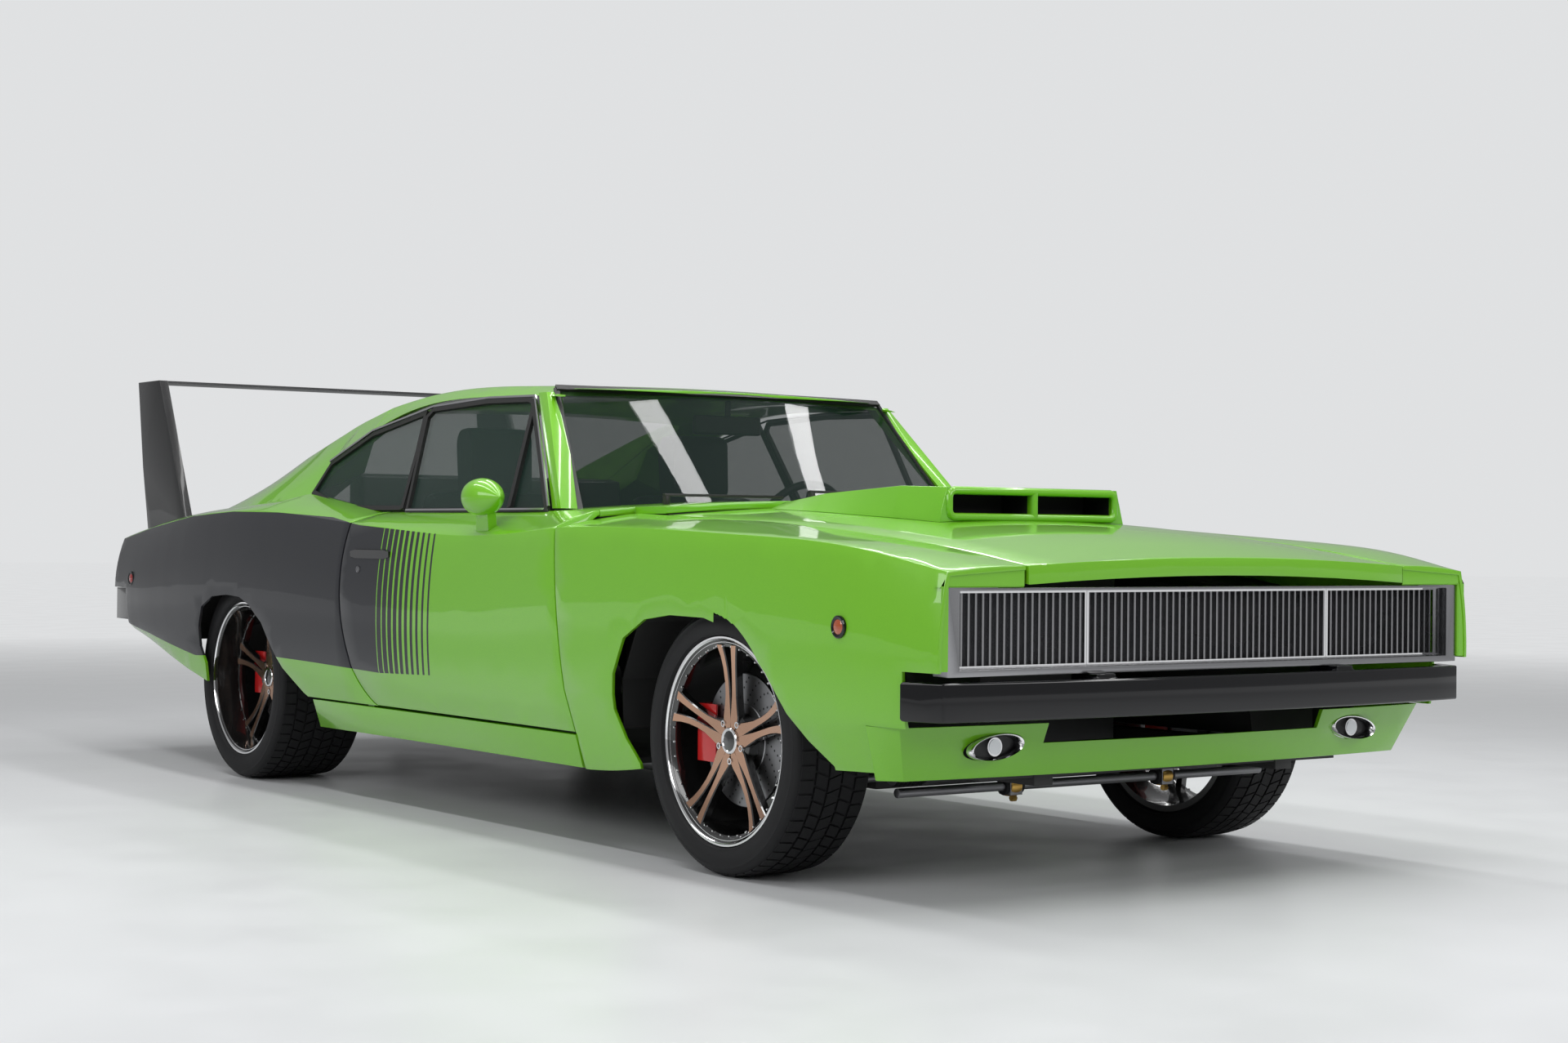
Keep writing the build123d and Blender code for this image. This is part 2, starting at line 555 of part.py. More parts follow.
def plan_band(z, side, corner, middle_y, thickness, inward):
    """Bumper-like band seen from above at height Z: side end, corner and middle, thick towards the car."""
    with BuildSketch(Plane.XY.offset(z)) as band:
        with BuildLine():
            outer = [side, corner]
            inner = [(side[0] - thickness, side[1]), (corner[0] - thickness, corner[1] + inward * thickness)]
            Line(*outer)
            ThreePointArc(corner, (0, middle_y), (-corner[0], corner[1]))
            Line((-corner[0], corner[1]), (-side[0], side[1]))
            Line((-side[0], side[1]), (-inner[0][0], inner[0][1]))
            Line((-inner[0][0], inner[0][1]), (-inner[1][0], inner[1][1]))
            ThreePointArc((-inner[1][0], inner[1][1]), (0, middle_y + inward * thickness), inner[1])
            Polyline(inner[1], inner[0], side)
        make_face()
    return band.sketch


with BuildPart() as rear_bumper:
    for z in (521, 642):
        add(plan_band(z, (888, 2410), (872, 2584), 2641, 26, -1))
    loft(ruled=True)
    with Locations((-330, 2596, 580), (330, 2596, 580)):
        Box(70, 51, 60)
save(rear_bumper.part, "rear_bumper")

# Front bumper, valance with its oval lamps, and the full-width grille
with BuildPart() as front_bumper:
    for z in (449, 540):
        add(plan_band(z, (937, -2490), (890, -2590), -2641, 30, 1))
    loft(ruled=True)
    with Locations((-415, -2570, 526), (415, -2570, 526)):
        Box(60, 96, 51.4)
save(front_bumper.part, "front_bumper")

VALANCE_SKIN = 12.0
VALANCE_INTAKE = (956.0, 381.0)
LAMP_PLACE = (622.0, 376.0)
LAMP_RADII = (84.0, 31.0)
LAMP_SLANT = 6.0
with BuildPart() as front_valance:
    add(plan_band(300, (896, -2352 - SEAT_GAP), (850, -2400), -2450, VALANCE_SKIN, 1))
    add(plan_band(429.5, (928, -2352 - SEAT_GAP), (900, -2445), -2505, VALANCE_SKIN, 1))
    loft(ruled=True)
    with Locations((0, -2450, VALANCE_INTAKE[1] + 50)):
        Box(VALANCE_INTAKE[0], 200, 100, mode=Mode.SUBTRACT)
    for side in (-1, 1):
        with BuildSketch(at_y(-2380)):
            with Locations((side * LAMP_PLACE[0], LAMP_PLACE[1])):
                Ellipse(*LAMP_RADII, rotation=-side * LAMP_SLANT)
        extrude(amount=200, mode=Mode.SUBTRACT)
save(front_valance.part, "front_valance")
with BuildPart() as driving_lamps:
    for side in (-1, 1):
        with BuildSketch(at_y(-2418)):
            with Locations((side * LAMP_PLACE[0], LAMP_PLACE[1])):
                Ellipse(LAMP_RADII[0] - SEAT_GAP, LAMP_RADII[1] - SEAT_GAP, rotation=-side * LAMP_SLANT)
        extrude(amount=46)
save(driving_lamps.part, "driving_lamps")

GRILLE_FACE_Y = -2548.0
GRILLE_HALF = 843.0
GRILLE_LOW_Z = 568.0
GRILLE_HIGH_Z = 748.0
SURROUND_HALF = 880.0
with BuildPart() as corner_post:
    with Locations((803, -2565, 769)):
        Box(146, 50, 38)
    add(Pos(0, 0, -SEAT_GAP) * fender.part, mode=Mode.SUBTRACT)
with BuildPart() as surround:
    with Locations((0, -2565, 653.5)):
        Box(2 * SURROUND_HALF, 50, 203)
    with Locations((0, -2565, (GRILLE_LOW_Z + GRILLE_HIGH_Z) / 2)):
        Box(2 * GRILLE_HALF, 60, GRILLE_HIGH_Z - GRILLE_LOW_Z, mode=Mode.SUBTRACT)
    add(both_sides(corner_post.part))
save(surround.part, "grille_surround")

# Bar groups: node, first bar's X, number of bars. All stand on one back plate each.
BAR_PITCH = 21.6
BAR_WIDTH = 6.0
BAR_DEPTH = 22.0
PLATE_Y = -2524.0
PLATE_THICKNESS = 5.0
SPLIT_X = 420.0


def grille_bars(centre_x, half, count):
    with BuildPart() as group:
        height = GRILLE_HIGH_Z - GRILLE_LOW_Z - 2 * SEAT_GAP
        middle_z = (GRILLE_HIGH_Z + GRILLE_LOW_Z) / 2
        with Locations((centre_x, PLATE_Y, middle_z)):
            Box(2 * half, PLATE_THICKNESS, height)
        with Locations((centre_x, PLATE_Y - (PLATE_THICKNESS + BAR_DEPTH) / 2, middle_z)):
            with GridLocations(BAR_PITCH, 1, count, 1):
                Box(BAR_WIDTH, BAR_DEPTH, height)
    return group.part


DOOR_BARS_X = (GRILLE_HALF + SPLIT_X) / 2
DOOR_BARS_HALF = (GRILLE_HALF - SPLIT_X) / 2
headlamp_doors = both_sides(grille_bars(DOOR_BARS_X, DOOR_BARS_HALF - 1, 19))
save(Part() + [grille_bars(0, SPLIT_X - 2, 39), headlamp_doors], "grille")

# Rear wing: two swept struts and the crossbar
WING_X = 762.0
WING_STRUT = 34.0
WING_TOP_Z = 1460.0
WING_SKIN = 18.0
with BuildPart() as wing:
    with BuildSketch(Plane.YZ.offset(WING_X - WING_STRUT / 2)):
        with BuildLine():
            Polyline((2080, 820), (2392, WING_TOP_Z - 6), (2400, WING_TOP_Z), (2617, WING_TOP_Z), (2560, 1120),
                     (2486, 820), close=True)
        make_face()
    extrude(amount=WING_STRUT)
    mirror(about=Plane.YZ)
    for side in (-1, 1):
        quarter_top = quarter.part if side > 0 else mirror(quarter.part, about=Plane.YZ)
        add(Pos(0, 0, SEAT_GAP) * quarter_top, mode=Mode.SUBTRACT)
wing_struts = Part() + wing.part.solids().sort_by(SortBy.VOLUME)[-2:]
with BuildPart() as rear_wing:
    add(wing_struts)
    with BuildSketch(Plane.YZ.offset(-WING_X)):
        with BuildLine():
            Polyline((2392, WING_TOP_Z - 10), (2410, WING_TOP_Z), (2617, WING_TOP_Z), (2617, WING_TOP_Z - 6),
                     (2420, WING_TOP_Z - WING_SKIN), close=True)
        make_face()
    extrude(amount=2 * WING_X)
save(rear_wing.part, "rear_wing")

# Side glass in the plane that leans in from the belt
GLASS_PLANE = Plane(origin=(BELT_X, 0, BELT_Z), x_dir=(0, 1, 0), z_dir=(cos(GLASS_LEAN), 0, sin(GLASS_LEAN)))
DOOR_GLASS = ((-656, 940), (-346, 1280), (-60, 1285), (292, 1272), (321, 1248), (229, 940))
QUARTER_GLASS = ((240, 943), (358, 943), (362, 922), (411, 922), (640, 947), (840, 970), (1000, 1004), (936, 1106),
                 (684, 1202), (340, 1262), (333, 1241))


def side_glass(points):
    """Glass in the leaning plane, from its outline in side view."""
    with BuildPart() as pane:
        with BuildSketch(GLASS_PLANE):
            with BuildLine():
                Polyline(*[(y, (z - BELT_Z) / cos(GLASS_LEAN)) for y, z in points], close=True)
            make_face()
        extrude(amount=-GLASS)
    return pane.part


with BuildPart() as door_glass:
    add(side_glass([(y, z - 12 if z < 950 else z) for y, z in DOOR_GLASS]))
    with Locations((BELT_X, 0, BELT_Z + SEAT_GAP - 50)):
        Box(200, 3000, 100, mode=Mode.SUBTRACT)
save_pair(door_glass.part, "door_glass")
with BuildPart() as quarter_glass:
    add(side_glass(QUARTER_GLASS))
    add(quarter_left.part, mode=Mode.SUBTRACT)
    add(Pos(0, 0, SEAT_GAP) * quarter_left.part, mode=Mode.SUBTRACT)
save(both_sides(biggest(quarter_glass.part)), "quarter_glass")

# Door mirrors
MIRROR_X = 912.0
MIRROR_Y = -500.0
MIRROR_Z = 976.0
with BuildPart() as door_mirror:
    with BuildSketch(Plane.YZ):
        with BuildLine():
            Polyline((MIRROR_Y - 84, MIRROR_Z), (MIRROR_Y + 62, MIRROR_Z), (MIRROR_Y + 62, MIRROR_Z + 50))
            ThreePointArc((MIRROR_Y + 62, MIRROR_Z + 50), (MIRROR_Y - 36, MIRROR_Z + 42), (MIRROR_Y - 84, MIRROR_Z))
        make_face()
    revolve(axis=Axis((0, MIRROR_Y, MIRROR_Z), (0, 1, 0)))
with BuildPart() as mirror_left:
    add(Pos(MIRROR_X, 0, 0) * door_mirror.part)
    with BuildSketch(Plane.XY.offset(MIRROR_Z - 20)):
        with Locations((MIRROR_X - 4, MIRROR_Y + 10)):
            Rectangle(26, 60)
    with BuildSketch(Plane.XY.offset(840)):
        with Locations((MIRROR_X - 30, MIRROR_Y + 44)):
            Rectangle(34, 84)
    loft(ruled=True)
    add(Pos(0, 0, SEAT_GAP) * door.part, mode=Mode.SUBTRACT)
save_pair(biggest(mirror_left.part), "mirror")

# Floor, firewall and trunk floor
FLOOR_Z = 248.0
FLOOR_SKIN = 18.0
FIREWALL_Y = -1066.0
FIREWALL_SKIN = 12.0
FIREWALL_HALF = 640.0
KICKUP_Y = 640.0
REAR_FLOOR_Z = 536.0
REAR_FLOOR_HALF = 554.7
TRUNK_FRONT_Y = 1716.0
TRUNK_REAR_Y = TAIL_FACE_Y - TAIL_SKIN - SEAT_GAP
HOOD_REST_X = 560.0
with BuildPart() as floor_pan:
    floor_half = SILL_INNER_X - SEAT_GAP
    with Locations((0, (FIREWALL_Y + KICKUP_Y) / 2, FLOOR_Z - FLOOR_SKIN / 2)):
        Box(2 * floor_half, KICKUP_Y - FIREWALL_Y, FLOOR_SKIN)
    with BuildSketch(at_y(FIREWALL_Y + FIREWALL_SKIN)):
        with BuildLine():
            crown_z = COWL_CROWN_Z - COWL_SKIN - SEAT_GAP
            edge_z = crown_z - COWL_CROWN_Z + arc_height(FIREWALL_HALF, COWL_HALF_WIDTH, COWL_EDGE_Z, COWL_CROWN_Z)
            ThreePointArc((-FIREWALL_HALF, edge_z), (0, crown_z), (FIREWALL_HALF, edge_z))
            foot_z = FLOOR_Z - FLOOR_SKIN
            Polyline((FIREWALL_HALF, edge_z), (FIREWALL_HALF, foot_z), (-FIREWALL_HALF, foot_z), (-FIREWALL_HALF, edge_z))
        make_face()
    extrude(amount=FIREWALL_SKIN)
    with Locations((0, KICKUP_Y, (FLOOR_Z - FLOOR_SKIN + REAR_FLOOR_Z) / 2)):
        Box(2 * floor_half, FLOOR_SKIN, REAR_FLOOR_Z - FLOOR_Z + FLOOR_SKIN)
    for side in (-1, 1):
        pad_z = arc_height(HOOD_REST_X + 20, HOOD_HALF, body("seam_z", -1120), body("centre_z", -1120)) - HOOD_SKIN
        with Locations((side * HOOD_REST_X, (-1125 + FIREWALL_Y + 6) / 2, 840)):
            Box(40, FIREWALL_Y + 6 + 1125, 30)
        with Locations((side * HOOD_REST_X, -1110, (840 + pad_z - SEAT_GAP) / 2)):
            Box(40, 30, pad_z - SEAT_GAP - 840)
    with Locations((0, (KICKUP_Y + TRUNK_FRONT_Y) / 2, REAR_FLOOR_Z - FLOOR_SKIN / 2)):
        Box(2 * REAR_FLOOR_HALF, TRUNK_FRONT_Y - KICKUP_Y + 20, FLOOR_SKIN)
    tunnel_front = FIREWALL_Y + FIREWALL_SKIN
    tunnel_rear = KICKUP_Y - FLOOR_SKIN / 2
    with Locations((0, (tunnel_front + tunnel_rear) / 2, FLOOR_Z + 40)):
        Box(230, tunnel_rear - tunnel_front + 2, 120)
    with Locations((0, (tunnel_front + tunnel_rear) / 2, FLOOR_Z + 22)):
        Box(206, tunnel_rear - tunnel_front - 2, 120, mode=Mode.SUBTRACT)
    with BuildSketch(Plane.XY.offset(REAR_FLOOR_Z - FLOOR_SKIN)):
        with BuildLine():
            edge = [(body("low_in", y) - QUARTER_SKIN - 1.0, y) for y in (TRUNK_FRONT_Y, 1960, 2200, 2395)]
            edge += [(850, 2400), (830, TRUNK_REAR_Y)]
            Polyline(*edge, *[(-x, y) for x, y in reversed(edge)], close=True)
        make_face()
    extrude(amount=FLOOR_SKIN)
save(floor_pan.part, "floor_pan")

with BuildPart() as rear_bulkhead:
    with BuildSketch(Plane.YZ.offset(-540)):
        with BuildLine():
            Polyline((1192, REAR_FLOOR_Z + SEAT_GAP), (1192, 944), (FILLER_FRONT_Y - 4, 944), (FILLER_FRONT_Y - 4, 932),
                     (1204, 932), (1204, REAR_FLOOR_Z + SEAT_GAP), close=True)
        make_face()
    extrude(amount=1080)
save(rear_bulkhead.part, "rear_bulkhead")

# Wheelhouse liners: offset from the axle towards the rear, height
FRONT_LINER = ((380, 100), (470, 330), (480, 480), (400, 640), (250, 742), (0, 778), (-250, 742), (-400, 640),
               (-480, 520), (-535, 400), (-545, 330), (-545, 100))
REAR_LINER = ((-436, 100), (-436, 520), (-380, 640), (-250, 742), (0, 786), (250, 742), (380, 640), (436, 520), (436, 100))
LINER_SKIN = 6.0


def liner(points, axle_y, inner_x, outer_x, bottom_z):
    with BuildPart() as shell:
        with BuildSketch(Plane.YZ.offset(inner_x)):
            Polygon(*[(axle_y + dy, z) for dy, z in points], align=None)
        extrude(amount=outer_x - inner_x)
        with BuildSketch(Plane.YZ.offset(inner_x + LINER_SKIN)):
            Polygon(*[(axle_y + dy, z) for dy, z in points], align=None)
            offset(amount=-LINER_SKIN, mode=Mode.REPLACE)
        extrude(amount=outer_x - inner_x, mode=Mode.SUBTRACT)
        with Locations(((inner_x + outer_x) / 2, axle_y, bottom_z / 2)):
            Box(2000, 2000, bottom_z, mode=Mode.SUBTRACT)
    return shell.part


save(both_sides(liner(FRONT_LINER, FRONT_AXLE_Y, 470, 890, 345)), "front_wheelhouses")
save(both_sides(liner(REAR_LINER, REAR_AXLE_Y, REAR_FLOOR_HALF + SEAT_GAP, 924, 472)), "rear_wheelhouses")

# Front subframe, lower and upper arms, sway bar, steering rack, engine, exhaust, fuel tank, rear axle
RAIL_NEAR_X = 390.0
RAIL_FAR_X = 450.0
with BuildPart() as subframe:
    for side in (-1, 1):
        with Locations((side * (RAIL_NEAR_X + RAIL_FAR_X) / 2, (-2405 + FIREWALL_Y - SEAT_GAP) / 2, 305)):
            Box(RAIL_FAR_X - RAIL_NEAR_X, FIREWALL_Y - SEAT_GAP + 2405, 70)
    with Locations((0, FRONT_AXLE_Y, 250)):
        Box(880, 130, 90)
    with Locations((0, -2370, 315)):
        Box(880, 60, 50)
    with Locations((0, -2110, 315)):
        Box(880, 60, 50)
    for side in (-1, 1):
        with Locations((side * 600, -2380, 520)):
            Box(40, 40, 440)
        with Locations((side * 520, -2380, 315)):
            Box(200, 40, 50)
    with Locations((0, -2380, 730)):
        Box(1240, 40, 30)
save(subframe.part, "front_subframe")

KNUCKLE_HALF = 118.0
ARM_THICKNESS = 20.0
LOW_ARM_Z = FRONT_TYRE_RADIUS - KNUCKLE_HALF - BEARING_GAP - ARM_THICKNESS / 2
HIGH_ARM_Z = FRONT_TYRE_RADIUS + KNUCKLE_HALF + BEARING_GAP + ARM_THICKNESS / 2
with BuildPart() as arms:
    for inner_x, z in ((440 + SEAT_GAP, LOW_ARM_Z), (476 + SEAT_GAP, HIGH_ARM_Z)):
        with Locations(((inner_x + KINGPIN_X) / 2, FRONT_AXLE_Y, z)):
            Box(KINGPIN_X - inner_x, 40, ARM_THICKNESS)
        with Locations((KINGPIN_X, FRONT_AXLE_Y, z)):
            Cylinder(20, ARM_THICKNESS)

SWAY_Y = -2110.0
SWAY_Z = 236.0
with BuildPart() as sway_bar:
    with Locations(Location((0, SWAY_Y, SWAY_Z), (0, 90, 0))):
        Cylinder(12, 1280)
    for side in (-1, 1):
        with Locations((side * 268, SWAY_Y, (SWAY_Z - 22 + 290 - SEAT_GAP) / 2)):
            Box(40, 44, 290 - SEAT_GAP - SWAY_Z + 22)

RACK_Y = -1850.0
RACK_Z = 246.0
with BuildPart() as rack:
    with Locations(Location((0, RACK_Y, RACK_Z), (0, 90, 0))):
        Cylinder(26, 700)
        Cylinder(12, 1080)
    for side in (-1, 1):
        with Locations(Location((side * 400, RACK_Y, RACK_Z), (0, 90, 0))):
            Cylinder(23.7, 100)
        with Locations((side * 330, (RACK_Y + FRONT_AXLE_Y - 65) / 2, RACK_Z)):
            Box(40, FRONT_AXLE_Y - 65 - RACK_Y - 2 * SEAT_GAP, 40)
save(Part() + [both_sides(arms.part), sway_bar.part, rack.part], "front_suspension")

with BuildPart() as engine:
    with Locations((0, -1560, 530)):
        Box(540, 720, 470)
save(engine.part, "engine")

EXHAUST_X = 330.0
EXHAUST_Z = 176.0
with BuildPart() as exhaust:
    for side in (-1, 1):
        with Locations(Location((side * EXHAUST_X, (-1050 + 2520) / 2, EXHAUST_Z), (90, 0, 0))):
            Cylinder(30, 2520 + 1050)
        with Locations(Location((side * EXHAUST_X, 350, EXHAUST_Z), (90, 0, 0))):
            Cylinder(50, 520)
        with Locations((side * EXHAUST_X, -700, (EXHAUST_Z + FLOOR_Z - FLOOR_SKIN - SEAT_GAP) / 2)):
            Box(30, 30, FLOOR_Z - FLOOR_SKIN - SEAT_GAP - EXHAUST_Z)
        with Locations((side * EXHAUST_X, 2470, (EXHAUST_Z + REAR_FLOOR_Z - FLOOR_SKIN - SEAT_GAP) / 2)):
            Box(30, 30, REAR_FLOOR_Z - FLOOR_SKIN - SEAT_GAP - EXHAUST_Z)
save(exhaust.part, "exhaust")

with BuildPart() as fuel_tank:
    with Locations((0, 2080, (320 + REAR_FLOOR_Z - FLOOR_SKIN - SEAT_GAP) / 2)):
        Box(760, 620, REAR_FLOOR_Z - FLOOR_SKIN - SEAT_GAP - 320)
save(fuel_tank.part, "fuel_tank")

# Dashboard with the steering column, steering wheel, seats
DASH_HALF = 783.0
COLUMN_X = 380.0
WHEEL_CENTRE = (COLUMN_X, -300.0, 872.0)
COLUMN_TILT = 20.0
COLUMN_AXIS = (0.0, cos(radians(COLUMN_TILT)), sin(radians(COLUMN_TILT)))
COLUMN_PLANE = Plane(origin=WHEEL_CENTRE, x_dir=(1, 0, 0), z_dir=COLUMN_AXIS)
with BuildPart() as dashboard:
    with BuildSketch(Plane.YZ.offset(-DASH_HALF)):
        with BuildLine():
            Polyline((-700, 917.7), (-520, 917.7), (-468, 880), (-480, 770), (-560, 700), (-700, 700), close=True)
        make_face()
    extrude(amount=2 * DASH_HALF)
    with BuildSketch(COLUMN_PLANE.offset(-30)):
        Circle(26)
    extrude(amount=-840)
    with Locations((0, FIREWALL_Y - 500 + FIREWALL_SKIN + SEAT_GAP, 600)):
        Box(2000, 1000, 1200, mode=Mode.SUBTRACT)
save(dashboard.part, "dashboard")

RIM_GRIP = 13.0
with BuildPart() as steering_wheel:
    with Locations(COLUMN_PLANE.location):
        Torus(180, RIM_GRIP)
        with Locations((0, 0, -15)):
            Cylinder(38, 28)
        with PolarLocations(0, 3, start_angle=-90):
            with Locations((100, 0, -4)):
                Box(150, 26, 7)
save(steering_wheel.part, "steering_wheel")

SEAT_X = 400.0
with BuildPart() as front_seat:
    with BuildSketch(Plane.YZ.offset(SEAT_X - 245)):
        with BuildLine():
            Polyline((-60, FLOOR_Z + SEAT_GAP), (-60, 455), (250, 425), (318, 1215), (410, 1225), (440, 1180), (430, 420),
                     (400, FLOOR_Z + SEAT_GAP), close=True)
        make_face()
    extrude(amount=490)
    fillet(front_seat.edges().filter_by(Axis.X).group_by(Axis.Z)[1:], 18)
save(both_sides(front_seat.part), "front_seats")

with BuildPart() as rear_seat:
    with BuildSketch(Plane.YZ.offset(-540)):
        with BuildLine():
            Polyline((680, REAR_FLOOR_Z + SEAT_GAP), (680, 680), (1020, 650), (1080, 1070), (1140, 1080), (1191, 1060),
                     (1191, REAR_FLOOR_Z + SEAT_GAP), close=True)
        make_face()
    extrude(amount=1080)
save(rear_seat.part, "rear_seat")

# Wheels: each is a rim with its hub and disc, and a tyre. Turned round +X, then moved to the axle.
def turned(points):
    """A ring from an X and radius profile, turned about the X axis."""
    with BuildPart() as ring:
        with BuildSketch(Plane.XZ):
            Polygon(*points, align=None)
        revolve(axis=Axis.X)
    return ring.part


def wheel_stations(inner_x, outer_x, dish):
    """X of the rim's inner and outer lip, and of the spokes' face."""
    return inner_x + 14, outer_x - 12, outer_x - 12 - dish


def tyre(inner_x, outer_x, radius):
    rim_in, rim_out, _ = wheel_stations(inner_x, outer_x, 0)
    seat = RIM_SEAT_RADIUS + BEAD_GAP
    lip = RIM_LIP_RADIUS + BEAD_GAP
    bead_in, bead_out = rim_in + LIP_WIDTH + BEAD_GAP, rim_out - LIP_WIDTH - BEAD_GAP
    outside = [(bead_in, seat), (bead_in, lip), (inner_x + 4, lip + 4), (inner_x, 300), (inner_x + 6, radius - 22),
               (inner_x + 22, radius - 3), (inner_x + 45, radius)]
    far_side = [(bead_out, seat), (bead_out, lip), (outer_x - 4, lip + 4), (outer_x, 300), (outer_x - 6, radius - 22),
                (outer_x - 22, radius - 3), (outer_x - 45, radius)]
    inside = [(bead_out - 14, seat), (outer_x - 16, 300), (outer_x - 30, radius - 18)]
    inside += [(inner_x + 30, radius - 18), (inner_x + 16, 300), (bead_in + 14, seat)]
    return turned(outside + far_side[::-1] + inside)


LIP_WIDTH = 8.0
BARREL_RADIUS = RIM_SEAT_RADIUS - RIM_WALL
SPOKE_PAIR = 17.0
SPOKE_WIDTH = 24.0


def rim(inner_x, outer_x, dish):
    rim_in, rim_out, face = wheel_stations(inner_x, outer_x, dish)
    barrel = [(rim_in, BARREL_RADIUS), (rim_in, RIM_LIP_RADIUS), (rim_in + LIP_WIDTH, RIM_LIP_RADIUS),
              (rim_in + LIP_WIDTH, RIM_SEAT_RADIUS), (rim_out - LIP_WIDTH, RIM_SEAT_RADIUS),
              (rim_out - LIP_WIDTH, RIM_LIP_RADIUS), (rim_out, RIM_LIP_RADIUS), (rim_out, BARREL_RADIUS)]
    back = face - SPOKE_THICKNESS
    hub = [(back - 28, HUB_BORE_RADIUS), (back - 28, DISC_RADIUS), (back - 16, DISC_RADIUS), (back - 16, HUB_RADIUS),
           (face, HUB_RADIUS), (face, 0), (face - 12, 0), (face - 12, HUB_BORE_RADIUS)]
    with BuildPart() as whole:
        add(turned(barrel))
        add(turned(hub))
        for turn in range(SPOKE_COUNT):
            for side in (-1, 1):
                angle = turn * 360 / SPOKE_COUNT + 90 + side * SPOKE_PAIR * 0.35
                with BuildSketch(Plane.YZ.offset(back)):
                    with Locations(Rotation(0, 0, angle)):
                        with Locations((HUB_RADIUS + 86, side * SPOKE_PAIR)):
                            Rectangle(180, SPOKE_WIDTH)
                extrude(amount=SPOKE_THICKNESS)
    return whole.part


def carrier(face_x):
    """Upright block beside a disc, with the spindle that carries the hub. face_x is the disc's inner face."""
    with BuildPart() as block:
        with Locations((face_x - 6 - 20, 0, 0)):
            Box(40, 100, 2 * KNUCKLE_HALF)
        with Locations(Location((face_x - 6 + 22, 0, 0), (0, 90, 0))):
            Cylinder(HUB_BORE_RADIUS - BEARING_GAP, 46)
    return block.part


def caliper(face_x):
    """Brake caliper over the disc's rear edge, seated on the carrier's rear face."""
    with BuildPart() as block:
        with Locations((face_x + 2, 152, 10)):
            Box(44, 84, 150)
        with Locations((face_x - 6 - 15, (50 + SEAT_GAP + 150) / 2, 10)):
            Box(30, 150 - 50 - SEAT_GAP, 70)
        with Locations(Location((face_x + 6, 0, 0), (0, 90, 0))):
            Cylinder(DISC_RADIUS + 6, 24, mode=Mode.SUBTRACT)
    return block.part


WHEELS = (
    ("front", FRONT_AXLE_Y, FRONT_TYRE_RADIUS, FRONT_TYRE_FACE_X - FRONT_TYRE_WIDTH, FRONT_TYRE_FACE_X, FRONT_DISH),
    ("rear", REAR_AXLE_Y, REAR_TYRE_RADIUS, REAR_TYRE_FACE_X - REAR_TYRE_WIDTH, REAR_TYRE_FACE_X, REAR_DISH),
)
disc_face = {}
for place, axle_y, radius, inner_x, outer_x, dish in WHEELS:
    centre = Pos(0, axle_y, radius)
    save_pair(centre * tyre(inner_x, outer_x, radius), f"tyre_{place}")
    save_pair(centre * rim(inner_x, outer_x, dish), f"rim_{place}")
    disc_face[place] = wheel_stations(inner_x, outer_x, dish)[2] - SPOKE_THICKNESS - 28

front_centre = Pos(0, FRONT_AXLE_Y, FRONT_TYRE_RADIUS)
rear_centre = Pos(0, REAR_AXLE_Y, REAR_TYRE_RADIUS)
with BuildPart() as knuckle:
    add(front_centre * carrier(disc_face["front"]))
    with Locations((disc_face["front"] - 26, FRONT_AXLE_Y - 80, 262)):
        Box(24, 70, 30)
save_pair(knuckle.part, "knuckle")
save_pair(front_centre * caliper(disc_face["front"]), "caliper_front")

AXLE_TUBE_RADIUS = 42.0
with BuildPart() as rear_axle:
    add(both_sides(rear_centre * carrier(disc_face["rear"])))
    with Locations(Location((0, REAR_AXLE_Y, REAR_TYRE_RADIUS), (0, 90, 0))):
        Cylinder(AXLE_TUBE_RADIUS, 2 * (disc_face["rear"] - 30))
        Cylinder(130, 150)
    with Locations((-470, REAR_AXLE_Y, 300), (470, REAR_AXLE_Y, 300)):
        Box(60, 1180, 12)
        Box(60, 90, 60)
    spring_top_z = REAR_FLOOR_Z - FLOOR_SKIN - SEAT_GAP
    with Locations(*[(x, REAR_AXLE_Y + dy, (300 + spring_top_z) / 2) for x in (-470, 470) for dy in (-585, 585)]):
        Box(60, 14, spring_top_z - 300)
save(rear_axle.part, "rear_axle")
save(both_sides(rear_centre * caliper(disc_face["rear"])), "calipers_rear")

# Wipers parked on the cowl
with BuildPart() as wipers:
    for x in (-560, -40):
        foot_z = arc_height(abs(x) - 11, COWL_HALF_WIDTH, COWL_EDGE_Z, COWL_CROWN_Z) + SEAT_GAP
        with Locations((x, -930, foot_z + 12)):
            Cylinder(11, 24)
        with Locations((x + 200, -932, foot_z + 28)):
            Box(420, 12, 8)
save(wipers.part, "wipers")
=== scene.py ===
"""Looks for the fastback coupe: finishes for every piece, and modelled trim, wheels, lamps and seats."""

from math import cos, pi, radians, sin

import bmesh
import bpy
from mathutils import Matrix, Vector


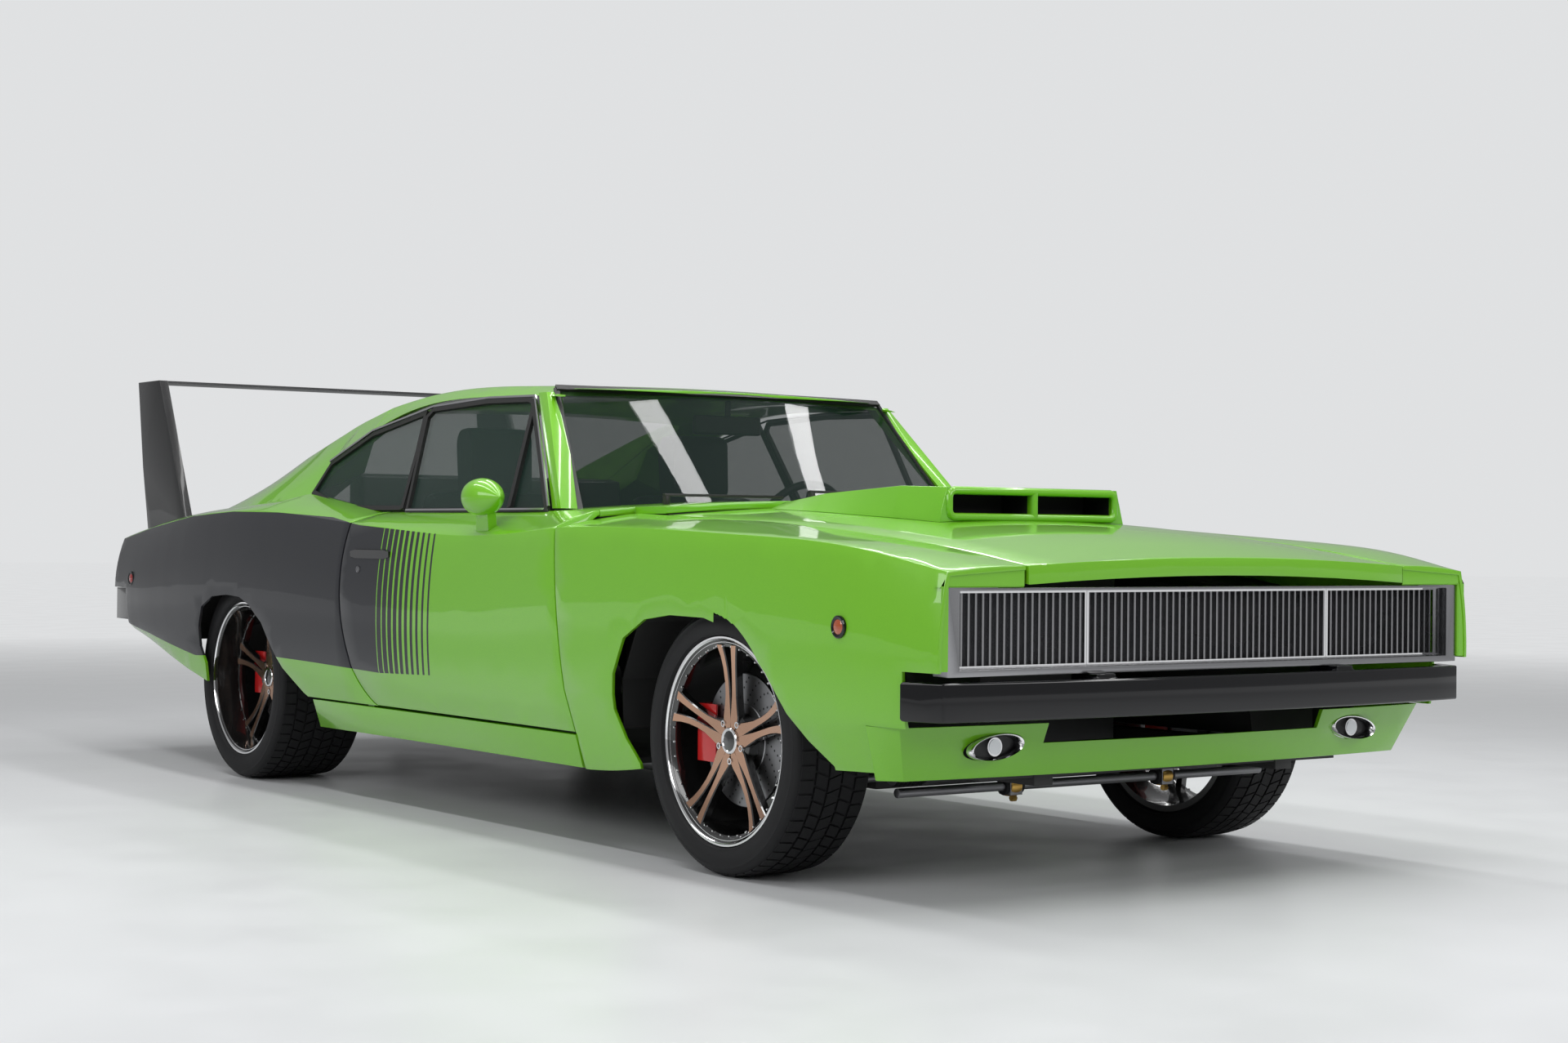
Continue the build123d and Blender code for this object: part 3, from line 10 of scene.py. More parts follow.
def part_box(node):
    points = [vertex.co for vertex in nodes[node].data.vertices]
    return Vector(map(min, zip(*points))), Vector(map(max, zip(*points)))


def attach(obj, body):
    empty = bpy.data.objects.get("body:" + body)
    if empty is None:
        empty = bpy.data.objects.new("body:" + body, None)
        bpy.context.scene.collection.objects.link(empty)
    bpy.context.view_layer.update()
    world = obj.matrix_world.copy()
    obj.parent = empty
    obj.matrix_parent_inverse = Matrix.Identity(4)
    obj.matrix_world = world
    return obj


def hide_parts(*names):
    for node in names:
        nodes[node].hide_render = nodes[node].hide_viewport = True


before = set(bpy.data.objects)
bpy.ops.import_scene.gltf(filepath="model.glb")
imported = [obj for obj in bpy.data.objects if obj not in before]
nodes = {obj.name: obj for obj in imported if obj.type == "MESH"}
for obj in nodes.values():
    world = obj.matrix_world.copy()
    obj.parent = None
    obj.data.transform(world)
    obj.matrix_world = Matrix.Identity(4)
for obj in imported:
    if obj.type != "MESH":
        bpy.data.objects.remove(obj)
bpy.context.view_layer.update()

# Places shared with the frame, in metres. The car faces -Y and its left side is +X.
AXLE_Y = {"front": -1.704, "rear": 1.268}
WHEELS = ("front_left", "front_right", "rear_left", "rear_right")
SIDES = ((1, "left"), (-1, "right"))


# Shader groups that several finishes share

def new_group(name, inputs, outputs):
    """A shader node group with named sockets. Each entry is a name, a socket type and a default."""
    group = bpy.data.node_groups.new(name, "ShaderNodeTree")
    for socket_name, kind, value in inputs:
        socket = group.interface.new_socket(socket_name, in_out="INPUT", socket_type=kind)
        if value is not None:
            socket.default_value = value
    for socket_name, kind in outputs:
        group.interface.new_socket(socket_name, in_out="OUTPUT", socket_type=kind)
    return group, group.nodes.new("NodeGroupInput"), group.nodes.new("NodeGroupOutput")


def feed(tree, socket, value):
    """Sets a socket to a number, or links another node's output to it."""
    if isinstance(value, (int, float)):
        socket.default_value = value
    else:
        tree.links.new(value, socket)


def math_node(tree, operation, a, b=None):
    node = tree.nodes.new("ShaderNodeMath")
    node.operation = operation
    feed(tree, node.inputs[0], a)
    if b is not None:
        feed(tree, node.inputs[1], b)
    return node.outputs[0]


def mix_colours(tree, share, a, b):
    """A colour between a and b. Each is an output, or a colour with its alpha."""
    node = tree.nodes.new("ShaderNodeMix")
    node.data_type = "RGBA"
    tree.links.new(share, node.inputs["Factor"])
    for key, colour in (("A", a), ("B", b)):
        if isinstance(colour, tuple):
            node.inputs[key].default_value = colour
        else:
            tree.links.new(colour, node.inputs[key])
    return node.outputs["Result"]


def map_range(tree, value, low, high, to_low, to_high):
    node = tree.nodes.new("ShaderNodeMapRange")
    tree.links.new(value, node.inputs["Value"])
    for key, item in (("From Min", low), ("From Max", high), ("To Min", to_low), ("To Max", to_high)):
        feed(tree, node.inputs[key], item)
    return node.outputs["Result"]


def noise(tree, vector, scale, detail=3.0):
    node = tree.nodes.new("ShaderNodeTexNoise")
    node.inputs["Detail"].default_value = detail
    tree.links.new(vector, node.inputs["Vector"])
    feed(tree, node.inputs["Scale"], scale)
    return node.outputs["Fac"]


def make_uneven_sheen():
    """Roughness that wanders a little between two values, as on a wiped surface."""
    group, entry, leave = new_group("uneven_sheen", [("Vector", "NodeSocketVector", None),
                                                     ("Scale", "NodeSocketFloat", 3.0),
                                                     ("Low", "NodeSocketFloat", 0.2),
                                                     ("High", "NodeSocketFloat", 0.3)],
                                    [("Roughness", "NodeSocketFloat")])
    value = noise(group, entry.outputs["Vector"], entry.outputs["Scale"])
    result = map_range(group, value, 0.35, 0.65, entry.outputs["Low"], entry.outputs["High"])
    group.links.new(result, leave.inputs["Roughness"])
    return group


FLAKES_PER_METRE = 2600.0


def make_flake():
    """Paint colour with a fine pearl flake of a second colour."""
    group, entry, leave = new_group("pearl_flake", [("Vector", "NodeSocketVector", None),
                                                    ("Base", "NodeSocketColor", None),
                                                    ("Flake", "NodeSocketColor", None),
                                                    ("Amount", "NodeSocketFloat", 0.3)],
                                    [("Color", "NodeSocketColor")])
    cells = group.nodes.new("ShaderNodeTexVoronoi")
    cells.inputs["Scale"].default_value = FLAKES_PER_METRE
    group.links.new(entry.outputs["Vector"], cells.inputs["Vector"])
    bright = math_node(group, "POWER", cells.outputs["Distance"], 2.0)
    share = math_node(group, "MULTIPLY", bright, entry.outputs["Amount"])
    colour = mix_colours(group, share, entry.outputs["Base"], entry.outputs["Flake"])
    group.links.new(colour, leave.inputs["Color"])
    return group


def make_grain():
    """Small bumps for rubber, leather, carpet and cast metal."""
    group, entry, leave = new_group("fine_grain", [("Vector", "NodeSocketVector", None),
                                                   ("Scale", "NodeSocketFloat", 900.0)],
                                    [("Height", "NodeSocketFloat")])
    height = noise(group, entry.outputs["Vector"], entry.outputs["Scale"], 2.0)
    group.links.new(height, leave.inputs["Height"])
    return group


UNEVEN = make_uneven_sheen()
FLAKE = make_flake()
GRAIN = make_grain()


def place_group(material, group, **values):
    """Puts a shared group in a material, read at the piece's own coordinates, with its values."""
    node = material.node_tree.nodes.new("ShaderNodeGroup")
    node.node_tree = group
    place = material.node_tree.nodes.get("place") or material.node_tree.nodes.new("ShaderNodeTexCoord")
    place.name = "place"
    material.node_tree.links.new(place.outputs["Object"], node.inputs["Vector"])
    for key, value in values.items():
        node.inputs[key].default_value = value
    return node


GRAIN_DEPTH = 0.0004
COAT_ROUGHNESS = 0.03


def finish_of(name, colour, roughness=0.4, metallic=0.0, coat=0.0, spread=0.0, grain=None, specular=0.5):
    """A Principled material. spread widens the roughness, grain is (scale, bump strength)."""
    material = bpy.data.materials.new(name)
    material.use_nodes = True
    tree = material.node_tree
    shader = tree.nodes["Principled BSDF"]
    shader.inputs["Base Color"].default_value = (*colour, 1.0)
    shader.inputs["Roughness"].default_value = roughness
    shader.inputs["Metallic"].default_value = metallic
    shader.inputs["Coat Weight"].default_value = coat
    shader.inputs["Coat Roughness"].default_value = COAT_ROUGHNESS
    shader.inputs["Specular IOR Level"].default_value = specular
    if spread:
        sheen = place_group(material, UNEVEN, Low=roughness - spread, High=roughness + spread)
        tree.links.new(sheen.outputs["Roughness"], shader.inputs["Roughness"])
    if grain:
        height = place_group(material, GRAIN, Scale=grain[0])
        bump = tree.nodes.new("ShaderNodeBump")
        bump.inputs["Strength"].default_value = grain[1]
        bump.inputs["Distance"].default_value = GRAIN_DEPTH
        tree.links.new(height.outputs["Height"], bump.inputs["Height"])
        tree.links.new(bump.outputs["Normal"], shader.inputs["Normal"])
    return material


LIME = (0.108, 0.385, 0.003)
LIME_PEARL = (0.34, 0.66, 0.03)
LIME_ROUGHNESS = 0.32
SLATE = (0.016, 0.017, 0.021)
# Painted shade inside the hood scoop's mouths
MOUTH_SHADE = (0.003, 0.003, 0.003)


def lime_paint(name):
    """Lime with its pearl flake. Gives the material and the flake's colour output."""
    material = finish_of(name, LIME, roughness=LIME_ROUGHNESS, coat=0.85, specular=0.35)
    flake = place_group(material, FLAKE, Base=(*LIME, 1), Flake=(*LIME_PEARL, 1), Amount=0.5)
    shader = material.node_tree.nodes["Principled BSDF"]
    material.node_tree.links.new(flake.outputs["Color"], shader.inputs["Base Color"])
    return material, flake.outputs["Color"]


def masked_lime(name, mask_group, colour, roughness, coat):
    """Lime that turns to another colour, roughness and coat where the mask is on."""
    material, lime = lime_paint(name)
    tree = material.node_tree
    shader = tree.nodes["Principled BSDF"]
    mask = place_group(material, mask_group).outputs["Mask"]
    tree.links.new(mix_colours(tree, mask, lime, (*colour, 1)), shader.inputs["Base Color"])
    tree.links.new(map_range(tree, mask, 0.0, 1.0, LIME_ROUGHNESS, roughness), shader.inputs["Roughness"])
    tree.links.new(map_range(tree, mask, 0.0, 1.0, 1.0, coat), shader.inputs["Coat Weight"])
    return material


# Slate rear quarter: it starts in stripes on the door and runs back under the shoulder crease. The
# crease and the lower border are given as heights at a few places along the car: Y, height.
SHOULDER_LINE = ((-0.4, 0.862), (-0.175, 0.868), (0.3, 0.892), (0.53, 0.918), (0.9, 0.934), (1.268, 0.938),
                 (1.65, 0.923), (2.2, 0.878), (2.6, 0.834))
LOWER_LINE = ((-0.4, 0.443), (0.12, 0.428), (0.6, 0.440), (0.9, 0.445), (1.6, 0.418), (1.916, 0.452),
              (2.2, 0.487), (2.6, 0.52))
STRIPE_FRONT_Y = -0.212
STRIPE_REAR_Y = 0.126
STRIPE_PITCH = 0.0338
NARROWEST_BAR = 0.30
WIDEST_BAR = 0.86


def line_height(tree, y, line):
    """Height of a border line at Y, straight between its places."""
    height = None
    for (y0, z0), (y1, z1) in zip(line, line[1:]):
        piece = map_range(tree, y, y0, y1, 0.0, z1 - z0)
        height = piece if height is None else math_node(tree, "ADD", height, piece)
    return math_node(tree, "ADD", height, line[0][1])


def make_slate_mask():
    """On over the slate rear quarter and in the bars ahead of it."""
    group, entry, leave = new_group("slate_quarter", [("Vector", "NodeSocketVector", None)],
                                    [("Mask", "NodeSocketFloat")])
    split = group.nodes.new("ShaderNodeSeparateXYZ")
    group.links.new(entry.outputs["Vector"], split.inputs["Vector"])
    y, z = split.outputs["Y"], split.outputs["Z"]
    below = math_node(group, "LESS_THAN", z, line_height(group, y, SHOULDER_LINE))
    above = math_node(group, "GREATER_THAN", z, line_height(group, y, LOWER_LINE))
    # Stripes: each pitch holds one bar, and the bars widen towards the rear
    along = math_node(group, "DIVIDE", math_node(group, "SUBTRACT", y, STRIPE_FRONT_Y), STRIPE_PITCH)
    phase = math_node(group, "FRACT", along)
    width = map_range(group, y, STRIPE_FRONT_Y, STRIPE_REAR_Y, NARROWEST_BAR, WIDEST_BAR)
    bar = math_node(group, "LESS_THAN", phase, width)
    started = math_node(group, "GREATER_THAN", y, STRIPE_FRONT_Y)
    solid = math_node(group, "GREATER_THAN", y, STRIPE_REAR_Y)
    on = math_node(group, "MAXIMUM", math_node(group, "MULTIPLY", bar, started), solid)
    mask = math_node(group, "MULTIPLY", math_node(group, "MULTIPLY", below, above), on)
    group.links.new(mask, leave.inputs["Mask"])
    return group


# The hood scoop's two mouths: their inside, as a box behind the front edge, less the divider. It is painted
# matte near-black as painted shade inside the mouths
MOUTH_HALF_X = 0.2890
DIVIDER_HALF_X = 0.0112
MOUTH_Y = (-1.8745, -1.7600)
MOUTH_Z = (0.9270, 0.9890)


def make_mouth_shade_mask():
    group, entry, leave = new_group("scoop_mouth_shade", [("Vector", "NodeSocketVector", None)],
                                    [("Mask", "NodeSocketFloat")])
    split = group.nodes.new("ShaderNodeSeparateXYZ")
    group.links.new(entry.outputs["Vector"], split.inputs["Vector"])
    x = math_node(group, "ABSOLUTE", split.outputs["X"])
    y, z = split.outputs["Y"], split.outputs["Z"]
    mask = math_node(group, "LESS_THAN", x, MOUTH_HALF_X)
    for value, test, bound in ((x, "GREATER_THAN", DIVIDER_HALF_X), (y, "GREATER_THAN", MOUTH_Y[0]),
                               (y, "LESS_THAN", MOUTH_Y[1]), (z, "LESS_THAN", MOUTH_Z[1]),
                               (z, "GREATER_THAN", MOUTH_Z[0])):
        mask = math_node(group, "MULTIPLY", mask, math_node(group, test, value, bound))
    group.links.new(mask, leave.inputs["Mask"])
    return group


def window_glass(name, tint, alpha):
    material = finish_of(name, tint, roughness=0.02)
    shader = material.node_tree.nodes["Principled BSDF"]
    shader.inputs["Alpha"].default_value = alpha
    shader.inputs["IOR"].default_value = 1.5
    return material


PLAIN_FINISHES = {
    "gloss_black": dict(colour=(0.003, 0.003, 0.004), roughness=0.07, coat=0.2, specular=0.4),
    "wing_black": dict(colour=(0.007, 0.007, 0.008), roughness=0.30, coat=0.3, spread=0.03, specular=0.3),
    "chrome": dict(colour=(0.82, 0.82, 0.83), roughness=0.07, metallic=1.0),
    "grille_black": dict(colour=(0.008, 0.008, 0.009), roughness=0.45, spread=0.04),
    "grille_bars": dict(colour=(0.34, 0.34, 0.35), roughness=0.26, metallic=1.0, spread=0.04),
    "belt_bright": dict(colour=(0.60, 0.60, 0.62), roughness=0.18, metallic=1.0),
    "surround_grey": dict(colour=(0.30, 0.30, 0.31), roughness=0.22, metallic=1.0, spread=0.04),
    "rubber": dict(colour=(0.011, 0.011, 0.012), roughness=0.62, spread=0.06, grain=(700, 0.5),
                   specular=0.25),
    "trim_black": dict(colour=(0.010, 0.010, 0.010), roughness=0.42, spread=0.04),
    "wheel_black": dict(colour=(0.008, 0.008, 0.008), roughness=0.22, coat=1.0),
    "bronze": dict(colour=(0.56, 0.33, 0.22), roughness=0.22, metallic=1.0, coat=0.3, spread=0.04),
    "disc_steel": dict(colour=(0.30, 0.30, 0.31), roughness=0.32, metallic=1.0, spread=0.05),
    "caliper_red": dict(colour=(0.52, 0.012, 0.012), roughness=0.3, coat=0.8),
    "bare_steel": dict(colour=(0.22, 0.22, 0.23), roughness=0.42, metallic=1.0, spread=0.08,
                       grain=(400, 0.3)),
    "cast_iron": dict(colour=(0.05, 0.05, 0.052), roughness=0.6, metallic=0.5, spread=0.08, grain=(500, 0.6)),
    "under_black": dict(colour=(0.014, 0.014, 0.014), roughness=0.55, spread=0.05, grain=(300, 0.3)),
    "cabin_vinyl": dict(colour=(0.012, 0.012, 0.013), roughness=0.5, spread=0.05, grain=(900, 0.5)),
    "seat_leather": dict(colour=(0.016, 0.016, 0.018), roughness=0.45, coat=0.1, spread=0.05,
                         grain=(800, 0.6)),
    "brass": dict(colour=(0.55, 0.34, 0.09), roughness=0.32, metallic=1.0, spread=0.05),
    "amber": dict(colour=(0.35, 0.06, 0.01), roughness=0.15, coat=1.0),
    "lamp_red": dict(colour=(0.30, 0.006, 0.006), roughness=0.15, coat=1.0),
    "lamp_lens": dict(colour=(0.75, 0.78, 0.80), roughness=0.12, metallic=0.3, coat=1.0),
}
FINISH = {name: finish_of(name, **parts) for name, parts in PLAIN_FINISHES.items()}
FINISH["lime"] = lime_paint("lime")[0]
FINISH["lime_and_slate"] = masked_lime("lime_and_slate", make_slate_mask(), SLATE, roughness=0.38, coat=0.25)
# The scoop is lime, with painted shade in matte near-black inside its mouths
FINISH["scoop_lime_with_mouth_shade"] = masked_lime("scoop_lime_with_mouth_shade", make_mouth_shade_mask(), MOUTH_SHADE, roughness=0.7, coat=0.0)
FINISH["side_glass"] = window_glass("side_glass", (0.020, 0.045, 0.036), 0.40)
FINISH["screen_glass"] = window_glass("screen_glass", (0.008, 0.018, 0.015), 0.45)

# Finish of each CAD node that is shown
NODE_FINISH = {
    "lime": ("fender_left", "fender_right", "roof", "cowl_panel", "hood", "front_valance", "sills",
             "trunk_lid", "deck_filler", "mirror_left", "mirror_right"),
    "scoop_lime_with_mouth_shade": ("hood_scoop",),
    "lime_and_slate": ("door_left", "door_right", "quarter_panel_left", "quarter_panel_right"),
    "wing_black": ("rear_wing", "tail_panel"),
    "gloss_black": ("front_bumper", "rear_bumper"),
    "surround_grey": ("grille_surround",),
    "screen_glass": ("windscreen", "rear_window"),
    "side_glass": ("quarter_glass", "door_glass_left", "door_glass_right"),
    "rubber": tuple(f"tyre_{w}" for w in WHEELS),
    "wheel_black": tuple(f"rim_{w}" for w in WHEELS),
    "bare_steel": ("knuckle_left", "knuckle_right", "front_suspension", "exhaust"),
    "cast_iron": ("engine", "rear_axle"),
    "under_black": ("floor_pan", "front_subframe", "front_wheelhouses", "rear_wheelhouses", "fuel_tank"),
    "grille_bars": ("grille",),
    "trim_black": ("wipers",),
    "cabin_vinyl": ("dashboard", "steering_wheel", "rear_bulkhead"),
    "seat_leather": ("front_seats", "rear_seat"),
    "lamp_red": ("tail_lamps",),
    "lamp_lens": ("driving_lamps",),
    "caliper_red": ("caliper_front_left", "caliper_front_right", "calipers_rear"),
}
CREASE_ANGLE = radians(28)
EDGE_ANGLE = radians(35)
BROKEN_EDGE = 0.0015
EDGE_RADIUS = {"hood_scoop": 0.011, "front_bumper": 0.006, "rear_bumper": 0.006, "front_seats": 0.03,
               "rear_seat": 0.03, "dashboard": 0.012, "front_valance": 0.004, "rear_wing": 0.004}
SHARP_NODES = ("windscreen", "rear_window", "quarter_glass", "door_glass_left", "door_glass_right", "grille")


def dress(node_name, finish_name):
    """Gives a CAD node its finish, with its smooth faces smoothed and its edges softly broken."""
    node = nodes[node_name]
    node.data.materials.clear()
    node.data.materials.append(FINISH[finish_name])
    custom = node.data.attributes.get("custom_normal")
    if custom:
        node.data.attributes.remove(custom)
    node.data.shade_smooth()
    weld = node.modifiers.new("join", "WELD")
    weld.merge_threshold = 0.00005
    if node_name not in SHARP_NODES:
        bevel = node.modifiers.new("break_edges", "BEVEL")
        bevel.width = EDGE_RADIUS.get(node_name, BROKEN_EDGE)
        bevel.segments = 4 if node_name in EDGE_RADIUS else 2
        bevel.limit_method = "ANGLE"
        bevel.angle_limit = EDGE_ANGLE
    split = node.modifiers.new("creases", "EDGE_SPLIT")
    split.split_angle = CREASE_ANGLE


for finish_name, names in NODE_FINISH.items():
    for node_name in names:
        dress(node_name, finish_name)


# Mesh building shared by the modelled pieces

WELD_DISTANCE = 0.00002


def turns_of(steps):
    """Angles that divide a full turn evenly."""
    return [2 * pi * step / steps for step in range(steps)]


class Shape:
    """Points, faces and the finish of each face, gathered before they become one mesh."""

    def __init__(self, *finishes):
        self.finishes = finishes
        self.points = []
        self.faces = []
        self.slots = []

    def add(self, points, faces, slot=0):
        start = len(self.points)
        self.points += [Vector(point) for point in points]
        self.faces += [[start + index for index in face] for face in faces]
        self.slots += [slot] * len(faces)

    def grid(self, rows, slot=0, closed_rows=False, closed_columns=False, row_slots=None):
        """Faces between rows of points. row_slots gives the finish of each band between two rows."""
        count, width = len(rows), len(rows[0])
        start = len(self.points)
        self.points += [Vector(point) for row in rows for point in row]
        for i in range(count if closed_rows else count - 1):
            for j in range(width if closed_columns else width - 1):
                near, far = start + i * width, start + (i + 1) % count * width
                right = (j + 1) % width
                self.faces.append([near + j, near + right, far + right, far + j])
                self.slots.append(row_slots[i] if row_slots else slot)

    def lathe(self, profile, centre, steps=64, slot=0, band_slots=None, closed=False):
        """Turns an X and radius profile about the X axis through centre."""
        middle_x, middle_y, middle_z = centre
        turns = turns_of(steps)
        rows = []
        for x, r in profile:
            rows.append([(middle_x + x, middle_y + r * cos(a), middle_z + r * sin(a)) for a in turns])
        self.grid(rows, slot, closed, True, band_slots)

    def sweep(self, path, section, up=(0, 0, 1), closed=False, slot=0):
        """Carries a closed section of sideways and upward offsets along a path, mitred at its corners."""
        path = [Vector(point) for point in path]
        rows = []
        for index, point in enumerate(path):
            before = path[index - 1] if index or closed else point
            after = path[(index + 1) % len(path)] if index + 1 < len(path) or closed else point
            into = (point - before).normalized() if (point - before).length else (after - point).normalized()
            out = (after - point).normalized() if (after - point).length else into
            along = (into + out).normalized()
            side = along.cross(Vector(up)).normalized()
            top = side.cross(along)
            stretch = 1 / max(along.dot(out), 0.5)
            rows.append([point + side * a * stretch + top * b for a, b in section])
        self.grid(rows, slot, closed, True)
        if not closed:
            self.cap(rows, slot)

    def cap(self, rows, slot=0):
        """Closes the first and the last row."""
        for row in (rows[0], rows[-1]):
            self.add(row, [list(range(len(row)))], slot)

    def block(self, low, high):
        xs, ys, zs = zip(low, high)
        corners = [(x, y, z) for x in xs for y in ys for z in zs]
        faces = [(0, 1, 3, 2), (4, 6, 7, 5), (0, 4, 5, 1), (2, 3, 7, 6), (0, 2, 6, 4), (1, 5, 7, 3)]
        self.add(corners, faces)

    def make(self, name, body, replaces=(), crease=32, bevel=0.0):
        mesh = bpy.data.meshes.new(name)
        mesh.from_pydata(self.points, [], self.faces)
        for finish_name in self.finishes:
            mesh.materials.append(FINISH[finish_name])
        mesh.polygons.foreach_set("material_index", self.slots)
        work = bmesh.new()
        work.from_mesh(mesh)
        bmesh.ops.remove_doubles(work, verts=work.verts, dist=WELD_DISTANCE)
        bmesh.ops.recalc_face_normals(work, faces=work.faces)
        work.to_mesh(mesh)
        work.free()
        mesh.shade_smooth()
        mesh.set_sharp_from_angle(angle=radians(crease))
        piece = bpy.data.objects.new(name, mesh)
        bpy.context.scene.collection.objects.link(piece)
        if bevel:
            soften = piece.modifiers.new("soften", "BEVEL")
            soften.width = bevel
            soften.segments = 2
            soften.angle_limit = EDGE_ANGLE
        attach(piece, body)
        if replaces:
            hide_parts(*replaces)
        return piece


def round_section(radius, steps):
    return [(radius * cos(a), radius * sin(a)) for a in turns_of(steps)]


def box_section(width, height):
    x, y = width / 2, height / 2
    return [(-x, -y), (x, -y), (x, y), (-x, y)]


OUTSIDE_X = 1.3
ABOVE_Z = 1.2


def on_skin(node_name, side, y, z):
    """Where a level line from outside meets a node's outer face at Y and Z."""
    start = Vector((side * OUTSIDE_X, y, z))
    hit, place, _, _ = nodes[node_name].ray_cast(start, Vector((-side, 0, 0)))
    if not hit:
        raise RuntimeError(f"{node_name} has no skin at {y}, {z}")
    return place


# Wheels: tyre with cut tread, deep black rim with bronze twin blades, disc with painted shade patches for its
# drill holes

WHEEL_SIZES = {
    "front": {"radius": 0.345, "inner": 0.655, "outer": 0.900, "dish": 0.027, "ribs": 5},
    "rear": {"radius": 0.352, "inner": 0.590, "outer": 0.915, "dish": 0.100, "ribs": 7},
}
RIM_RADIUS = 0.268
SEAT_RADIUS = 0.252
LIP = 0.008
RIM_SET_IN = (0.014, 0.012)


class Wheel:
    """Where one wheel stands, with points on it told by distance from the car's middle, radius and turn."""

    def __init__(self, name):
        end, hand = name.split("_")
        size = WHEEL_SIZES[end]
        self.name = name
        self.body = f"wheel_{name}"
        self.side = 1 if hand == "left" else -1
        self.axle_y = AXLE_Y[end]
        self.radius = size["radius"]
        self.inner = size["inner"]
        self.outer = size["outer"]
        self.ribs = size["ribs"]
        self.lip_in = self.inner + RIM_SET_IN[0]
        self.lip_out = self.outer - RIM_SET_IN[1]
        self.face = self.lip_out - size["dish"]

    def spot(self, x, r, turn, across=0.0):
        """A point at radius r and turn, moved across that radius."""
        y = self.axle_y + r * cos(turn) - across * sin(turn)
        z = self.radius + r * sin(turn) + across * cos(turn)
        return Vector((self.side * x, y, z))

    def ring(self, shape, profile, slot=0, band_slots=None, steps=96, closed=False):
        turned = [(self.side * x, r) for x, r in profile]
        shape.lathe(turned, (0, self.axle_y, self.radius), steps, slot, band_slots, closed)


TREAD_PITCHES = 58
GROOVE = 0.0055
GROOVE_HALF_WIDTH = 0.0035
SHOULDER = 0.020
SHOULDER_END = 0.024
SHOULDER_DROP = 0.0045
BLOCK_ROOT = 0.012
BLOCK_SHARE = 0.84
MIDDLE_BLOCK_SHARE = 0.90
BLOCK_LEAN = 0.32


def tread_blocks(shape, wheel):
    """Rows of leaning blocks round the tyre, with a groove between rows."""
    width = wheel.outer - wheel.inner
    land = width - 2 * SHOULDER
    pitch = 2 * pi / TREAD_PITCHES
    last = wheel.ribs - 1
    for rib in range(wheel.ribs):
        low = SHOULDER + land * rib / wheel.ribs + (GROOVE_HALF_WIDTH if rib else 0.0)
        high = SHOULDER + land * (rib + 1) / wheel.ribs - (GROOVE_HALF_WIDTH if rib < last else 0.0)
        lean = (0.0 if rib in (0, last) else BLOCK_LEAN) * pitch * (1 if rib % 2 else -1)
        share = MIDDLE_BLOCK_SHARE if rib == wheel.ribs // 2 else BLOCK_SHARE
        for step in range(TREAD_PITCHES):
            start = step * pitch + (rib % 2) * pitch / 2
            end = start + pitch * share
            points = []
            for depth, turn in ((low, start), (low, end), (high, end + lean), (high, start + lean)):
                at_shoulder = min(depth, width - depth) < SHOULDER_END
                top = wheel.radius - (SHOULDER_DROP if at_shoulder else 0.0)
                points += [wheel.spot(wheel.outer - depth, r, turn) for r in (wheel.radius - BLOCK_ROOT, top)]
            shape.add(points, [(1, 3, 5, 7), (0, 2, 3, 1), (2, 4, 5, 3), (4, 6, 7, 5), (6, 0, 1, 7)])


def build_tyre(wheel):
    shape = Shape("rubber")
    crown = wheel.radius
    # Half the section from bead to crown: depth from the side wall, radius
    half = [(0.0285, SEAT_RADIUS + 0.001), (0.0215, SEAT_RADIUS + 0.001), (0.0205, RIM_RADIUS + 0.001),
            (0.009, RIM_RADIUS + 0.003), (0.0045, RIM_RADIUS + 0.006), (0.0045, RIM_RADIUS + 0.010),
            (0.0015, RIM_RADIUS + 0.014), (0.0, 0.300), (0.0008, crown - 0.034), (0.003, crown - 0.026),
            (0.0022, crown - 0.024), (0.007, crown - 0.016), (0.014, crown - 0.0095),
            (0.026, crown - GROOVE - 0.001), (0.045, crown - GROOVE)]
    profile = [(wheel.outer - depth, r) for depth, r in half]
    profile += [(wheel.inner + depth, r) for depth, r in reversed(half)]
    wheel.ring(shape, profile)
    tread_blocks(shape, wheel)
    shape.make(f"tyre_tread_{wheel.name}", wheel.body, (f"tyre_{wheel.name}",), 40)


# A blade's middle line and width at radii from the hub to the barrel: radius, offset, half width
BLADE = ((0.030, 0.013, 0.014), (0.060, 0.0155, 0.0150), (0.085, 0.0150, 0.0115), (0.115, 0.0145, 0.0085),
         (0.150, 0.0155, 0.0075), (0.185, 0.0185, 0.0078), (0.215, 0.0235, 0.0088), (0.2445, 0.0310, 0.0110))
BLADE_PAIRS = 5
BLADE_RISE = 0.016
BLADE_RISE_FROM = 0.10
BLADE_EDGE = 0.0025
BLADE_EDGE_DROP = 0.003
BLADE_DEPTH = 0.022
RIVETS = 40
RIVET_CIRCLE = 0.2415
RIVET_RADIUS = 0.0036
RIVET_HEIGHT = 0.004
HUB_RADIUS = 0.070
BOLTS = 5
BOLT_CIRCLE = 0.052
DISC_HOLE_CIRCLES = (0.105, 0.120, 0.135, 0.150, 0.162)
DISC_HOLES_ROUND = 22
DISC_HOLE_RADIUS = 0.0032
# The hole slot takes flat black patches: painted shade for the disc's drill holes
BLACK_SLOT, BRONZE_SLOT, CHROME_SLOT, DISC_SLOT, HOLE_SHADE_SLOT = range(5)


